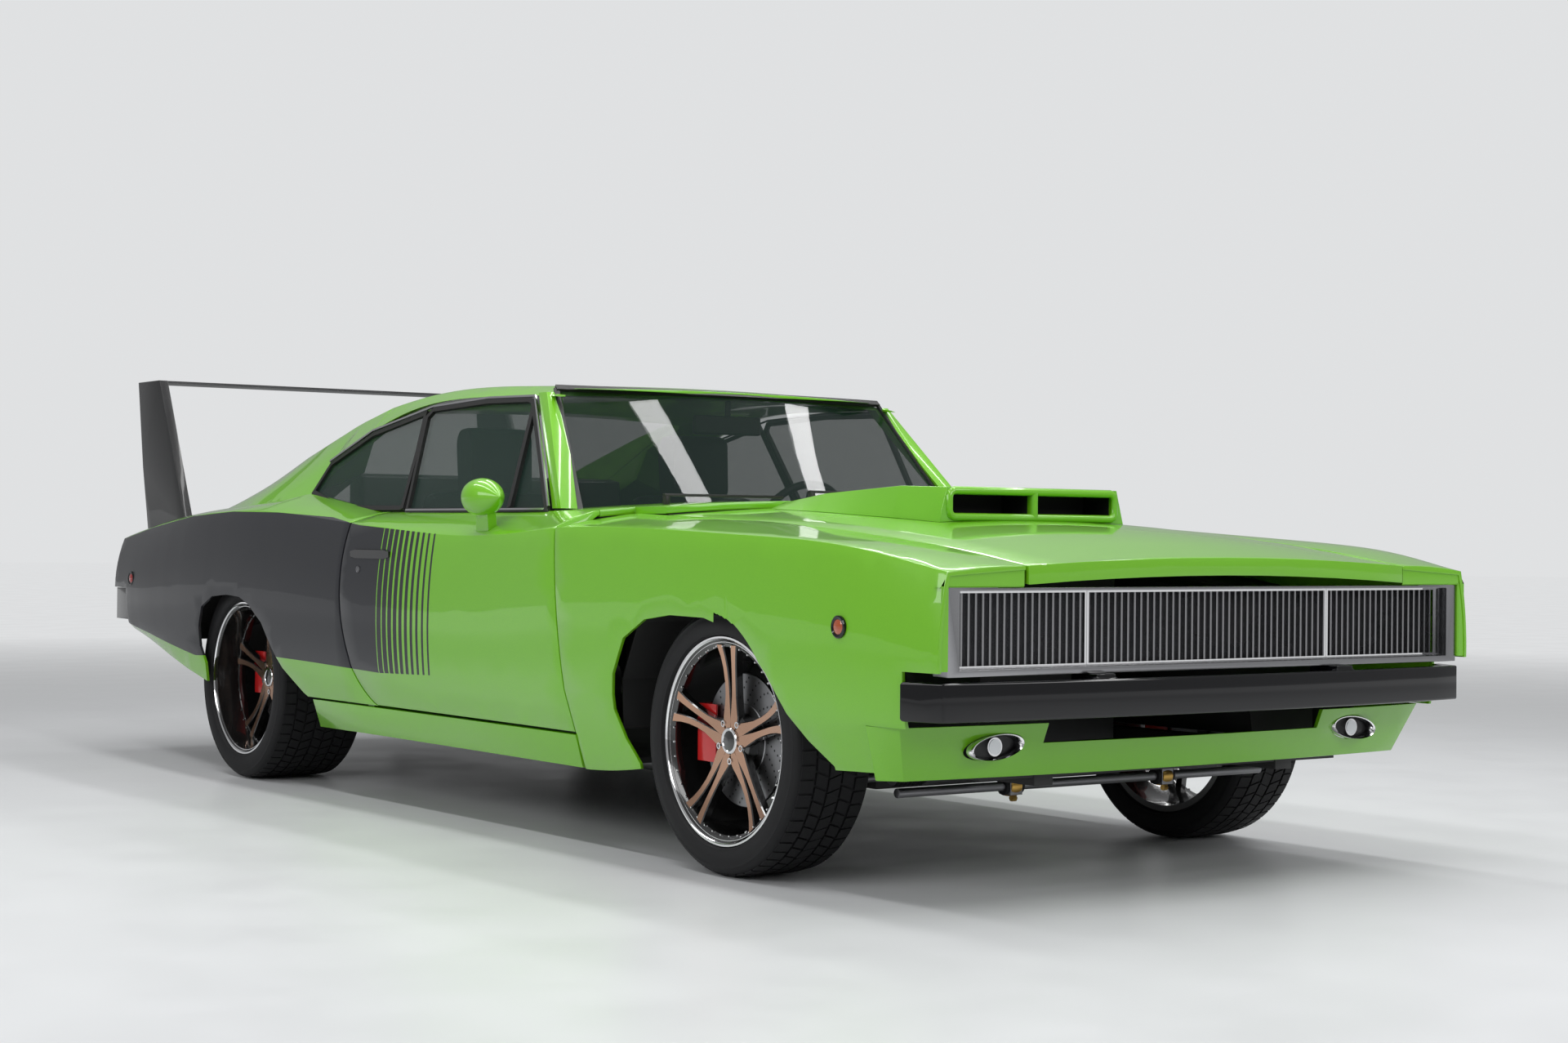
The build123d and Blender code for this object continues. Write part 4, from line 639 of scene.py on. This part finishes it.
def rim_barrel(shape, wheel):
    """The deep barrel with its bright outer lip."""
    lip_out, lip_in, face = wheel.lip_out, wheel.lip_in, wheel.face
    lip = [(lip_out - LIP, SEAT_RADIUS), (lip_out - LIP, RIM_RADIUS), (lip_out - 0.001, RIM_RADIUS),
           (lip_out, RIM_RADIUS - 0.001), (lip_out, RIM_RADIUS - 0.006)]
    well = [(lip_out - 0.004, RIM_RADIUS - 0.009), (lip_out - 0.010, 0.2505), (face + 0.012, 0.2455),
            (face + 0.010, 0.2405), (face - 0.014, 0.2405), (face - 0.020, 0.2440), (lip_in + 0.03, 0.2445),
            (lip_in, 0.2500), (lip_in, RIM_RADIUS), (lip_in + LIP, RIM_RADIUS), (lip_in + LIP, SEAT_RADIUS)]
    bands = [CHROME_SLOT] * len(lip) + [BLACK_SLOT] * len(well)
    wheel.ring(shape, lip + well, band_slots=bands, closed=True)


def rim_rivets(shape, wheel):
    outward = Vector((wheel.side, 0, 0))
    for rivet in range(RIVETS):
        turn = 2 * pi * (rivet + 0.5) / RIVETS
        base = wheel.spot(wheel.face + 0.0115, RIVET_CIRCLE, turn)
        tangent = Vector((0, -sin(turn), cos(turn))) * RIVET_RADIUS
        radial = Vector((0, cos(turn), sin(turn))) * RIVET_RADIUS
        foot = [base + tangent * cos(a) + radial * sin(a) for a in turns_of(6)]
        top = [point + outward * RIVET_HEIGHT - (point - base) * 0.35 for point in foot]
        shape.grid([foot, top], CHROME_SLOT, False, True)
        shape.add(top, [list(range(6))], CHROME_SLOT)


def rim_blades(shape, wheel):
    """Five pairs of curved blades with machined bronze faces and black edges."""
    reach = BLADE[-1][0] - BLADE_RISE_FROM
    for pair in range(BLADE_PAIRS):
        axis = 2 * pi * pair / BLADE_PAIRS + pi / 2
        for hand in (-1, 1):
            rows = []
            for r, offset, half_width in BLADE:
                top = wheel.face + BLADE_RISE * max(0.0, (r - BLADE_RISE_FROM) / reach) ** 2
                low, high = hand * offset - half_width, hand * offset + half_width
                section = [(low - BLADE_EDGE, top - BLADE_DEPTH), (low - BLADE_EDGE, top - BLADE_EDGE_DROP),
                           (low, top), (high, top), (high + BLADE_EDGE, top - BLADE_EDGE_DROP),
                           (high + BLADE_EDGE, top - BLADE_DEPTH)]
                rows.append([wheel.spot(x, r, axis, across) for across, x in section])
            for near, far in zip(rows, rows[1:]):
                for j in range(len(near) - 1):
                    slot = BRONZE_SLOT if j == 2 else BLACK_SLOT
                    shape.add([near[j], near[j + 1], far[j + 1], far[j]], [(0, 1, 2, 3)], slot)
            shape.add(rows[-1], [list(range(len(rows[-1])))], BLACK_SLOT)


def rim_hub(shape, wheel, back):
    """Hub, cap with its bright ring, and the wheel bolts."""
    face = wheel.face
    wheel.ring(shape, [(back - 0.016, HUB_RADIUS), (face - 0.012, HUB_RADIUS), (face - 0.005, 0.062),
                       (face - 0.004, 0.046), (face - 0.004, 0.0005)], BLACK_SLOT)
    wheel.ring(shape, [(face - 0.004, 0.034), (face + 0.004, 0.034), (face + 0.006, 0.032),
                       (face + 0.006, 0.027), (face + 0.004, 0.025)], CHROME_SLOT, steps=48)
    wheel.ring(shape, [(face + 0.0045, 0.0255), (face + 0.0065, 0.018), (face + 0.0075, 0.0005)], BLACK_SLOT,
               steps=48)
    bolt = [(wheel.side * (face + x), r) for x, r in
            ((-0.004, 0.009), (0.003, 0.009), (0.003, 0.0055), (-0.002, 0.005), (-0.002, 0.0004))]
    for number in range(BOLTS):
        turn = 2 * pi * (number + 0.5) / BOLTS + pi / 2
        middle = wheel.spot(0, BOLT_CIRCLE, turn)
        shape.lathe(bolt, middle, 8, CHROME_SLOT)


def brake_disc(shape, wheel, back):
    """Disc behind the blades, with flat black patches as painted shade for its drill holes, and the hub's
    flange behind it.
    """
    disc_out = back - 0.016
    wheel.ring(shape, [(disc_out, 0.069), (disc_out, 0.092), (disc_out - 0.0015, 0.094),
                       (disc_out - 0.0015, 0.170), (disc_out - 0.003, 0.172), (disc_out - 0.0105, 0.172),
                       (disc_out - 0.012, 0.170), (disc_out - 0.012, 0.031)], DISC_SLOT)
    # Drill holes are not cut: each is a flat black patch just in front of the disc face, painted shade where
    # a hole would be
    for row, r in enumerate(DISC_HOLE_CIRCLES):
        for step in range(DISC_HOLES_ROUND):
            turn = 2 * pi * (step + row * 0.22) / DISC_HOLES_ROUND
            hole = wheel.spot(disc_out - 0.0012, r, turn)
            edge = [hole + Vector((0, cos(a), sin(a))) * DISC_HOLE_RADIUS for a in turns_of(8)]
            shape.add(edge, [list(range(8))], HOLE_SHADE_SLOT)
    flange = [(back - 0.028, 0.031), (back - 0.028, HUB_RADIUS), (back - 0.016, HUB_RADIUS)]
    wheel.ring(shape, flange, BLACK_SLOT, steps=48)


def build_rim(wheel):
    shape = Shape("wheel_black", "bronze", "chrome", "disc_steel", "grille_black")
    back = wheel.face - 0.026
    rim_barrel(shape, wheel)
    rim_rivets(shape, wheel)
    rim_blades(shape, wheel)
    rim_hub(shape, wheel, back)
    brake_disc(shape, wheel, back)
    shape.make(f"rim_bladed_{wheel.name}", wheel.body, (f"rim_{wheel.name}",), 32)


for name in WHEELS:
    wheel = Wheel(name)
    build_tyre(wheel)
    build_rim(wheel)


# Front end: bright frames over the grille and its headlamp doors, driving lamps

GRILLE_FRONT_Y = -2.548
GRILLE_Z = (0.571, 0.745)
GRILLE_FRAMES = ((-0.414, 0.414), (-0.840, -0.421), (0.421, 0.840))


def grille_frames():
    shape = Shape("chrome")
    low, high = GRILLE_Z
    for x0, x1 in GRILLE_FRAMES:
        loop = [(x, GRILLE_FRONT_Y, z) for x, z in ((x0, low), (x1, low), (x1, high), (x0, high))]
        shape.sweep(loop, box_section(0.006, 0.0035), up=(0, 1, 0), closed=True)
    shape.make("grille_frames", "body", (), 32)


LAMP_X = 0.622
LAMP_Z = 0.376
LAMP_REACH = (0.0837, 0.0307)
LAMP_SLANT = radians(6)
LAMP_FRONT_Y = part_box("driving_lamps")[0][1]
# Rim of the lamp tube from its bright outer roll to the back of its recess: share of size, depth, finish
LAMP_RIM = ((1.00, 0.012, 0), (1.00, -0.004, 0), (0.965, -0.0075, 0), (0.90, -0.006, 0), (0.84, 0.004, 1),
            (0.80, 0.016, 1))
LAMP_BACK = (0.82, 0.0155)
# The bulb's chrome cup and its lens: radius, depth, finish
LAMP_BULB = ((0.0225, 0.006, 0), (0.0185, 0.0045, 2))


def lamp_oval(side, share, depth):
    """Points round the slanted oval lamp, at a share of its size and a depth behind its front."""
    slant = -side * LAMP_SLANT
    points = []
    for turn in turns_of(48):
        across, upward = LAMP_REACH[0] * share * cos(turn), LAMP_REACH[1] * share * sin(turn)
        x = side * LAMP_X + across * cos(slant) - upward * sin(slant)
        z = LAMP_Z + across * sin(slant) + upward * cos(slant)
        points.append((x, LAMP_FRONT_Y + depth, z))
    return points


def driving_lamps():
    shape = Shape("chrome", "grille_black", "lamp_lens")
    for side in (-1, 1):
        rows = [lamp_oval(side, share, depth) for share, depth, _ in LAMP_RIM]
        shape.grid(rows, 0, False, True, [band for _, _, band in LAMP_RIM[:-1]])
        back = lamp_oval(side, *LAMP_BACK)
        shape.add(back, [list(range(len(back)))], 1)
        for radius, depth, slot in LAMP_BULB:
            y = LAMP_FRONT_Y + depth
            bulb = [(side * LAMP_X + radius * cos(a), y, LAMP_Z + radius * sin(a)) for a in turns_of(48)]
            behind = [(x, y + 0.010, z) for x, y, z in bulb]
            shape.grid([behind, bulb], slot, False, True)
            shape.add(bulb, [list(range(len(bulb)))], slot)
    shape.make("driving_lamp_tubes", "body", ("driving_lamps",), 40)


grille_frames()
driving_lamps()


# Side details: flush handles, locks, round markers

HANDLE_Y = (0.062, 0.318)
HANDLE_Z = 0.800
HANDLE_STEPS = 8
HANDLE_HALF = 0.017
HANDLE_END_HALF = 0.010
LOCK_PLACE = (0.260, 0.751)


def door_fittings(side, label):
    shape = Shape("gloss_black", "bare_steel")
    rows = []
    for step in range(HANDLE_STEPS + 1):
        y = HANDLE_Y[0] + (HANDLE_Y[1] - HANDLE_Y[0]) * step / HANDLE_STEPS
        half = HANDLE_END_HALF if step in (0, HANDLE_STEPS) else HANDLE_HALF
        middle = on_skin(f"door_{label}", side, y, HANDLE_Z)
        section = ((-0.004, -half), (0.005, -half * 0.8), (0.006, half * 0.8), (-0.004, half))
        rows.append([middle + Vector((side * out, 0, up)) for out, up in section])
    shape.grid(rows)
    shape.cap(rows)
    lock = on_skin(f"door_{label}", side, *LOCK_PLACE)
    barrel = ((0.0, 0.011), (0.003, 0.0105), (0.0035, 0.008), (0.0025, 0.0075), (0.0025, 0.0004))
    shape.lathe([(side * x, r) for x, r in barrel], lock, 24, 1)
    shape.make(f"door_fittings_{label}", f"door_{label}", (), 35)


def round_marker(side, name, node_name, y, z, centre_finish):
    place = on_skin(node_name, side, y, z)
    shape = Shape("gloss_black", centre_finish)
    bezel = ((-0.004, 0.027), (0.004, 0.027), (0.006, 0.024), (0.004, 0.018))
    lens = ((0.003, 0.0185), (0.006, 0.012), (0.0065, 0.0004))
    for slot, profile in enumerate((bezel, lens)):
        shape.lathe([(side * x, r) for x, r in profile], place, 32, slot)
    shape.make(name, "body", (), 35)


for side, label in SIDES:
    door_fittings(side, label)
    round_marker(side, f"marker_front_{label}", f"fender_{label}", -2.270, 0.657, "amber")
    round_marker(side, f"marker_rear_{label}", f"quarter_panel_{label}", 2.315, 0.683, "lamp_red")


# Windows: black channel round the windscreen and each side pane, and the bright belt line

BELT = (0.790, 0.936)
RAIL = (0.656, 1.285)
GLASS_LEAN = (RAIL[0] - BELT[0]) / (RAIL[1] - BELT[1])
DOOR_CHANNEL = ((-0.656, 0.940), (-0.350, 1.274), (-0.326, 1.280), (-0.060, 1.285), (0.292, 1.272),
                (0.321, 1.248), (0.229, 0.940))
CHANNEL_DROP = 0.002
QUARTER_CHANNEL = ((0.262, 0.948), (0.411, 0.948), (0.640, 0.950), (0.840, 0.974), (0.990, 1.006),
                   (0.930, 1.104), (0.684, 1.200), (0.350, 1.260))
VENT_POST = ((-0.430, 0.946), (-0.366, 1.251))
REAR_POST = ((0.268, 0.944), (0.326, 1.250))
BELT_LINE = ((-0.652, 0.941), (-0.2, 0.941), (0.226, 0.941))
SCREEN_BASE = ((0.712, -0.703), (0.0, -0.842))
SCREEN_TOP = ((0.621, -0.398), (0.0, -0.462))
SCREEN_Z = (0.930, 1.312)
SCREEN_INSET = 0.002


def on_side_glass(side, places, out):
    """Points on the leaning side glass from Y and Z, moved outwards."""
    return [Vector((side * (BELT[0] + (z - BELT[1]) * GLASS_LEAN + out), y, z)) for y, z in places]


def bowed(edge, middle, steps=14):
    """Points across the car from side to side, on the parabola through an edge and the middle."""
    points = []
    for step in range(steps + 1):
        x = edge[0] * (2 * step / steps - 1)
        share = (x / edge[0]) ** 2
        points.append((x, middle[1] + (edge[1] - middle[1]) * share))
    return points


def screen_trim():
    shape = Shape("trim_black")
    for ends, z, lift in ((SCREEN_BASE, SCREEN_Z[0], 0.004), (SCREEN_TOP, SCREEN_Z[1], 0.002)):
        line = [(x, y - 0.004, z + lift) for x, y in bowed(*ends)]
        shape.sweep(line, box_section(0.020, 0.010), up=(0, -0.7, 0.7))
    for side in (-1, 1):
        ends = []
        for (x, y), z in ((SCREEN_BASE[0], SCREEN_Z[0]), (SCREEN_TOP[0], SCREEN_Z[1])):
            ends.append(Vector((side * (x - SCREEN_INSET), y - SCREEN_INSET, z)))
        shape.sweep(ends, box_section(0.016, 0.008), up=(side * 0.3, -0.8, 0.5))
    shape.make("screen_trim", "body", (), 35)


def side_window_trim(side, label):
    lean = (side, 0, 0.38)
    door = Shape("trim_black", "belt_bright")
    channel = [(y, z - CHANNEL_DROP) for y, z in DOOR_CHANNEL]
    door.sweep(on_side_glass(side, channel, 0.006), box_section(0.016, 0.012), lean, True)
    for post in (VENT_POST, REAR_POST):
        door.sweep(on_side_glass(side, post, 0.006), box_section(0.020, 0.012), lean)
    door.sweep(on_side_glass(side, BELT_LINE, 0.014), box_section(0.006, 0.008), lean, slot=1)
    door.make(f"door_window_trim_{label}", f"door_{label}", (), 35)
    rear = Shape("trim_black")
    rear.sweep(on_side_glass(side, QUARTER_CHANNEL, 0.003), box_section(0.016, 0.010), lean, True)
    rear.make(f"quarter_window_trim_{label}", "body", (), 35)


screen_trim()
for side, label in SIDES:
    side_window_trim(side, label)


# Painted nose corners: they close the fender's front edge round the grille opening

NOSE_FACE_Y = -2.5975
NOSE_INNER_Y = -2.570
NOSE_READ_Y = -2.594
NOSE_X = (0.657, 0.905)
NOSE_Z = (0.566, 0.786)
NOSE_STEPS = 12
OPENING_TOP_Z = 0.7560
OPENING_SIDE_X = 0.8808
RETURN_BREAK = 0.003
UNDER_SKIN = 0.004


def over_fender(label, x, y):
    """Height of the fender's top at X and Y, or None beside it."""
    hit, place, _, _ = nodes[f"fender_{label}"].ray_cast(Vector((x, y, ABOVE_Z)), Vector((0, 0, -1)))
    return place.z if hit else None


def nose_corner(side, label):
    shape = Shape("lime")
    above = []
    beside = []
    for step in range(NOSE_STEPS + 1):
        x = side * (NOSE_X[0] + (NOSE_X[1] - NOSE_X[0]) * step / NOSE_STEPS)
        top = over_fender(label, x, NOSE_READ_Y)
        if top is not None:
            above.append([(x, NOSE_INNER_Y, OPENING_TOP_Z), (x, NOSE_FACE_Y + RETURN_BREAK, OPENING_TOP_Z),
                          (x, NOSE_FACE_Y, OPENING_TOP_Z + RETURN_BREAK), (x, NOSE_FACE_Y, top - UNDER_SKIN)])
        z = NOSE_Z[0] + (NOSE_Z[1] - NOSE_Z[0]) * step / NOSE_STEPS
        skin = on_skin(f"fender_{label}", side, NOSE_READ_Y, z)
        edge_x = side * OPENING_SIDE_X
        beside.append([(edge_x, NOSE_INNER_Y, z), (edge_x, NOSE_FACE_Y + RETURN_BREAK, z),
                       (edge_x + side * RETURN_BREAK, NOSE_FACE_Y, z),
                       (skin.x - side * UNDER_SKIN, NOSE_FACE_Y, z)])
    shape.grid(above)
    shape.grid(beside)
    shape.make(f"nose_corner_{label}", "body", (), 35)


for side, label in SIDES:
    nose_corner(side, label)


# Bright drip rails up the windscreen pillars and over the doors

DRIP_RAIL = ((-0.662, 0.950), (-0.352, 1.290), (-0.060, 1.296), (0.300, 1.282), (0.690, 1.214),
             (0.940, 1.114))


def drip_rails():
    shape = Shape("belt_bright")
    for side in (-1, 1):
        shape.sweep(on_side_glass(side, DRIP_RAIL, 0.010), box_section(0.007, 0.006), up=(side, 0, 0.38))
    shape.make("drip_rails", "body", (), 35)


drip_rails()


# Rolled lip round the scoop's two mouths, and the divider between them

SCOOP_FRONT_Y = -1.886
LIP_HALF_X = 0.296
LIP_Z = (0.924, 0.994)
LIP_RADIUS = 0.011
# One rounded corner of the lip's path, as distances in from the corner
LIP_CORNER = ((0, 0.016), (0.005, 0.005), (0.016, 0))


def scoop_lip():
    path = []
    for sx, sz in ((-1, -1), (1, -1), (1, 1), (-1, 1)):
        z = LIP_Z[0] if sz < 0 else LIP_Z[1]
        corner = [(sx * (LIP_HALF_X - dx), SCOOP_FRONT_Y, z - sz * dz) for dx, dz in LIP_CORNER]
        path += corner if sx * sz > 0 else corner[::-1]
    shape = Shape("lime")
    shape.sweep(path, round_section(LIP_RADIUS, 12), up=(0, 1, 0), closed=True)
    divider = [(0, SCOOP_FRONT_Y, LIP_Z[0] + 0.002), (0, SCOOP_FRONT_Y, LIP_Z[1] - 0.002)]
    shape.sweep(divider, round_section(LIP_RADIUS + 0.001, 12), up=(0, 1, 0))
    shape.make("scoop_lip", "hood", (), 50)


scoop_lip()


# Under the nose: sway bar clamps in brass, steering bellows

SWAY_BAR = (-2.110, 0.236)
RACK = (-1.850, 0.246)
CLAMP_X = 0.268
CLAMP_HALF = 0.017
BELLOWS_X = (0.352, 0.449)
BELLOWS_FOLDS = 15
FOLD_RADII = (0.0242, 0.0275)


def stub(shape, low_x, high_x, place, radii, slot, steps=20):
    """A turned piece along X whose radius runs through radii."""
    count = len(radii) - 1
    profile = [(low_x + (high_x - low_x) * i / count, r) for i, r in enumerate(radii)]
    shape.lathe([(low_x, 0.0005)] + profile + [(high_x, 0.0005)], (0, *place), steps, slot)


def sway_bar_clamps():
    shape = Shape("brass", "rubber")
    bolt = [(-0.007, 0.0005), (-0.007, 0.009), (0.007, 0.009), (0.007, 0.0005)]
    folds = [FOLD_RADII[fold % 2] for fold in range(BELLOWS_FOLDS)]
    for side in (-1, 1):
        x = side * CLAMP_X
        stub(shape, x - CLAMP_HALF, x + CLAMP_HALF, SWAY_BAR, (0.0255, 0.027, 0.027, 0.0255), 0)
        for lift in (-0.031, 0.031):
            shape.lathe(bolt, (x, SWAY_BAR[0] - 0.010, SWAY_BAR[1] + lift), 6)
        stub(shape, x - 0.030, x - 0.018, SWAY_BAR, (0.021, 0.024, 0.021), 1)
        stub(shape, x + 0.018, x + 0.030, SWAY_BAR, (0.021, 0.024, 0.021), 1)
        stub(shape, side * BELLOWS_X[0], side * BELLOWS_X[1], RACK, folds, 1)
    shape.make("sway_bar_clamps", "body", (), 35)


sway_bar_clamps()


# Seats: padded cushions over the plain seat forms, with sewn channels. Outlines are Y and Z from the side.

SEAT_X = (0.155, 0.645)
HEAD_REST_X = (0.285, 0.515)
SEAT_BASE = ((-0.058, 0.262), (-0.058, 0.452), (0.050, 0.458), (0.262, 0.430), (0.300, 0.262))
SEAT_BACK = ((0.262, 0.425), (0.300, 0.860), (0.330, 1.010), (0.410, 1.010), (0.428, 0.860), (0.420, 0.300),
             (0.310, 0.300))
HEAD_REST = ((0.318, 1.000), (0.326, 1.200), (0.352, 1.222), (0.408, 1.218), (0.432, 1.180), (0.414, 1.000))
CUSHION_STEPS = 28
SEAM_DEPTH = 0.012
SEAM_REACH = 0.05


def rounded(outline, radius, steps=4):
    """Side outline with its corners rounded."""
    points = []
    count = len(outline)
    for index, corner in enumerate(outline):
        here, before, after = Vector(corner), Vector(outline[index - 1]), Vector(outline[(index + 1) % count])
        reach = min(radius, (before - here).length * 0.45, (after - here).length * 0.45)
        start = here + (before - here).normalized() * reach
        end = here + (after - here).normalized() * reach
        for step in range(steps + 1):
            t = step / steps
            points.append(tuple((1 - t) ** 2 * start + 2 * t * (1 - t) * here + t * t * end))
    return points


def cushion(shape, side, outline, low_x, high_x, seams=()):
    """A padded form: the outline carried across the seat, full in the middle, pinched at its seams."""
    middle_y = sum(y for y, z in outline) / len(outline)
    middle_z = sum(z for y, z in outline) / len(outline)
    rows = []
    for step in range(CUSHION_STEPS + 1):
        share = 2 * step / CUSHION_STEPS - 1
        full = (1 - abs(share) ** 5) ** 0.5 if abs(share) < 1 else 0.0
        pinch = 0.94 + 0.06 * full
        for seam in seams:
            pinch -= SEAM_DEPTH * max(0.0, 1 - abs(share - seam) / SEAM_REACH)
        x = side * ((low_x + high_x) / 2 + share * (high_x - low_x) / 2)
        row = [(x, middle_y + (y - middle_y) * pinch, middle_z + (z - middle_z) * pinch) for y, z in outline]
        rows.append(row)
    shape.grid(rows, 0, False, True)
    shape.cap(rows)


def front_seat(side, label):
    seat = Shape("seat_leather")
    cushion(seat, side, rounded(SEAT_BASE, 0.05), *SEAT_X, (-0.62, 0.62))
    cushion(seat, side, rounded(SEAT_BACK, 0.05), *SEAT_X, (-0.6, 0.6))
    cushion(seat, side, rounded(HEAD_REST, 0.03), *HEAD_REST_X)
    piece = seat.make(f"front_seat_{label}", "body", ("front_seats",), 50)


def cabin_mirror():
    shape = Shape("trim_black")
    shape.block((-0.125, -0.430, 1.190), (0.125, -0.405, 1.250))
    shape.block((-0.010, -0.428, 1.245), (0.010, -0.415, 1.300))
    shape.make("cabin_mirror", "body", (), 35, 0.008)


for side, label in SIDES:
    front_seat(side, label)
cabin_mirror()


# Floor, backdrop, lamps and camera

BACKDROP = (0.80, 0.81, 0.82)
FLOOR = (0.60, 0.61, 0.62)
FLOOR_RADIUS = 60
FADE_FROM = 4.5
FADE_TO = 13.0
# The far floor's own glow, less what it mirrors of the backdrop, and the backdrop as seen and as light
FAR_GLOW = 0.77
BACKDROP_SEEN = 0.93
BACKDROP_LIGHT = 0.40
BLACK = (0, 0, 0, 1)


def floor_finish():
    """Pale floor that takes the shadow, and melts into the backdrop far from the car."""
    material = finish_of("pale_floor", FLOOR, roughness=0.34, spread=0.03, specular=0.4)
    tree = material.node_tree
    shader = tree.nodes["Principled BSDF"]
    length = tree.nodes.new("ShaderNodeVectorMath")
    length.operation = "LENGTH"
    tree.links.new(tree.nodes["place"].outputs["Object"], length.inputs[0])
    far = map_range(tree, length.outputs["Value"], FADE_FROM, FADE_TO, 0.0, 1.0)
    tree.links.new(mix_colours(tree, far, (*FLOOR, 1), BLACK), shader.inputs["Base Color"])
    paths = tree.nodes.new("ShaderNodeLightPath")
    seen = math_node(tree, "MAXIMUM", paths.outputs["Is Camera Ray"], paths.outputs["Is Transmission Ray"])
    seen = math_node(tree, "MAXIMUM", seen, paths.outputs["Is Glossy Ray"])
    glow = tuple(FAR_GLOW * c for c in BACKDROP) + (1,)
    shown = math_node(tree, "MULTIPLY", far, seen)
    tree.links.new(mix_colours(tree, shown, BLACK, glow), shader.inputs["Emission Color"])
    shader.inputs["Emission Strength"].default_value = 1.0
    return material


def make_stage():
    bpy.ops.mesh.primitive_circle_add(vertices=96, radius=FLOOR_RADIUS, fill_type="NGON")
    floor = bpy.context.object
    floor.name = "floor"
    floor.data.materials.append(floor_finish())
    world = bpy.data.worlds.new("studio")
    bpy.context.scene.world = world
    world.use_nodes = True
    tree = world.node_tree
    background = tree.nodes["Background"]
    background.inputs["Color"].default_value = (*BACKDROP, 1)
    paths = tree.nodes.new("ShaderNodeLightPath")
    seen = math_node(tree, "MAXIMUM", paths.outputs["Is Camera Ray"], paths.outputs["Is Transmission Ray"])
    strength = map_range(tree, seen, 0.0, 1.0, BACKDROP_LIGHT, BACKDROP_SEEN)
    tree.links.new(strength, background.inputs["Strength"])


def area_lamp(name, place, target, size, power):
    """A rectangular lamp at place that faces target."""
    data = bpy.data.lights.new(name, "AREA")
    data.shape = "RECTANGLE"
    data.size, data.size_y = size
    data.energy = power
    lamp = bpy.data.objects.new(name, data)
    bpy.context.scene.collection.objects.link(lamp)
    lamp.location = place
    lamp.rotation_euler = (Vector(target) - Vector(place)).to_track_quat("-Z", "Y").to_euler()


# Camera fitted to the photo's wheels, bumpers and glass
CAMERA_PLACE = Vector((-4.411, -6.857, 0.867))
CAMERA_YAW = radians(35.77)
CAMERA_PITCH = radians(0.36)
CAMERA_ROLL = radians(0.54)
PHOTO_WIDTH = 1920
FOCAL_PIXELS = 2999
SENSOR = 36.0


def make_camera():
    data = bpy.data.cameras.new("camera")
    data.sensor_width = SENSOR
    data.lens = FOCAL_PIXELS / PHOTO_WIDTH * SENSOR
    data.clip_end = 200
    camera = bpy.data.objects.new("camera", data)
    bpy.context.scene.collection.objects.link(camera)
    level_share = cos(CAMERA_PITCH)
    ahead = Vector((sin(CAMERA_YAW) * level_share, cos(CAMERA_YAW) * level_share, sin(CAMERA_PITCH)))
    level = ahead.cross(Vector((0, 0, 1))).normalized()
    upward = level.cross(ahead)
    right = level * cos(CAMERA_ROLL) + upward * sin(CAMERA_ROLL)
    up = upward * cos(CAMERA_ROLL) - level * sin(CAMERA_ROLL)
    turn = Matrix((right, up, -ahead)).transposed()
    camera.matrix_world = Matrix.Translation(CAMERA_PLACE) @ turn.to_4x4()
    bpy.context.scene.camera = camera


STRIP_PLACES = (-2.6, -0.6, 1.4, 3.4)
STRIP_Y = -0.8
STRIP_HEIGHT = 5.0
STRIP_SIZE = (0.35, 9.0)
STRIP_POWER = 130

make_stage()
for number, strip_x in enumerate(STRIP_PLACES):
    overhead = (strip_x, STRIP_Y, STRIP_HEIGHT)
    area_lamp(f"strip_{number}", overhead, (strip_x, STRIP_Y, 0), STRIP_SIZE, STRIP_POWER)
area_lamp("near_side", (-7.0, -2.0, 3.4), (0, 0, 0.6), (7.0, 2.2), 190)
area_lamp("ahead", (1.5, -8.0, 3.6), (0, -1.5, 0.6), (6.0, 2.0), 150)
make_camera()
bpy.context.scene.view_settings.view_transform = "Standard"
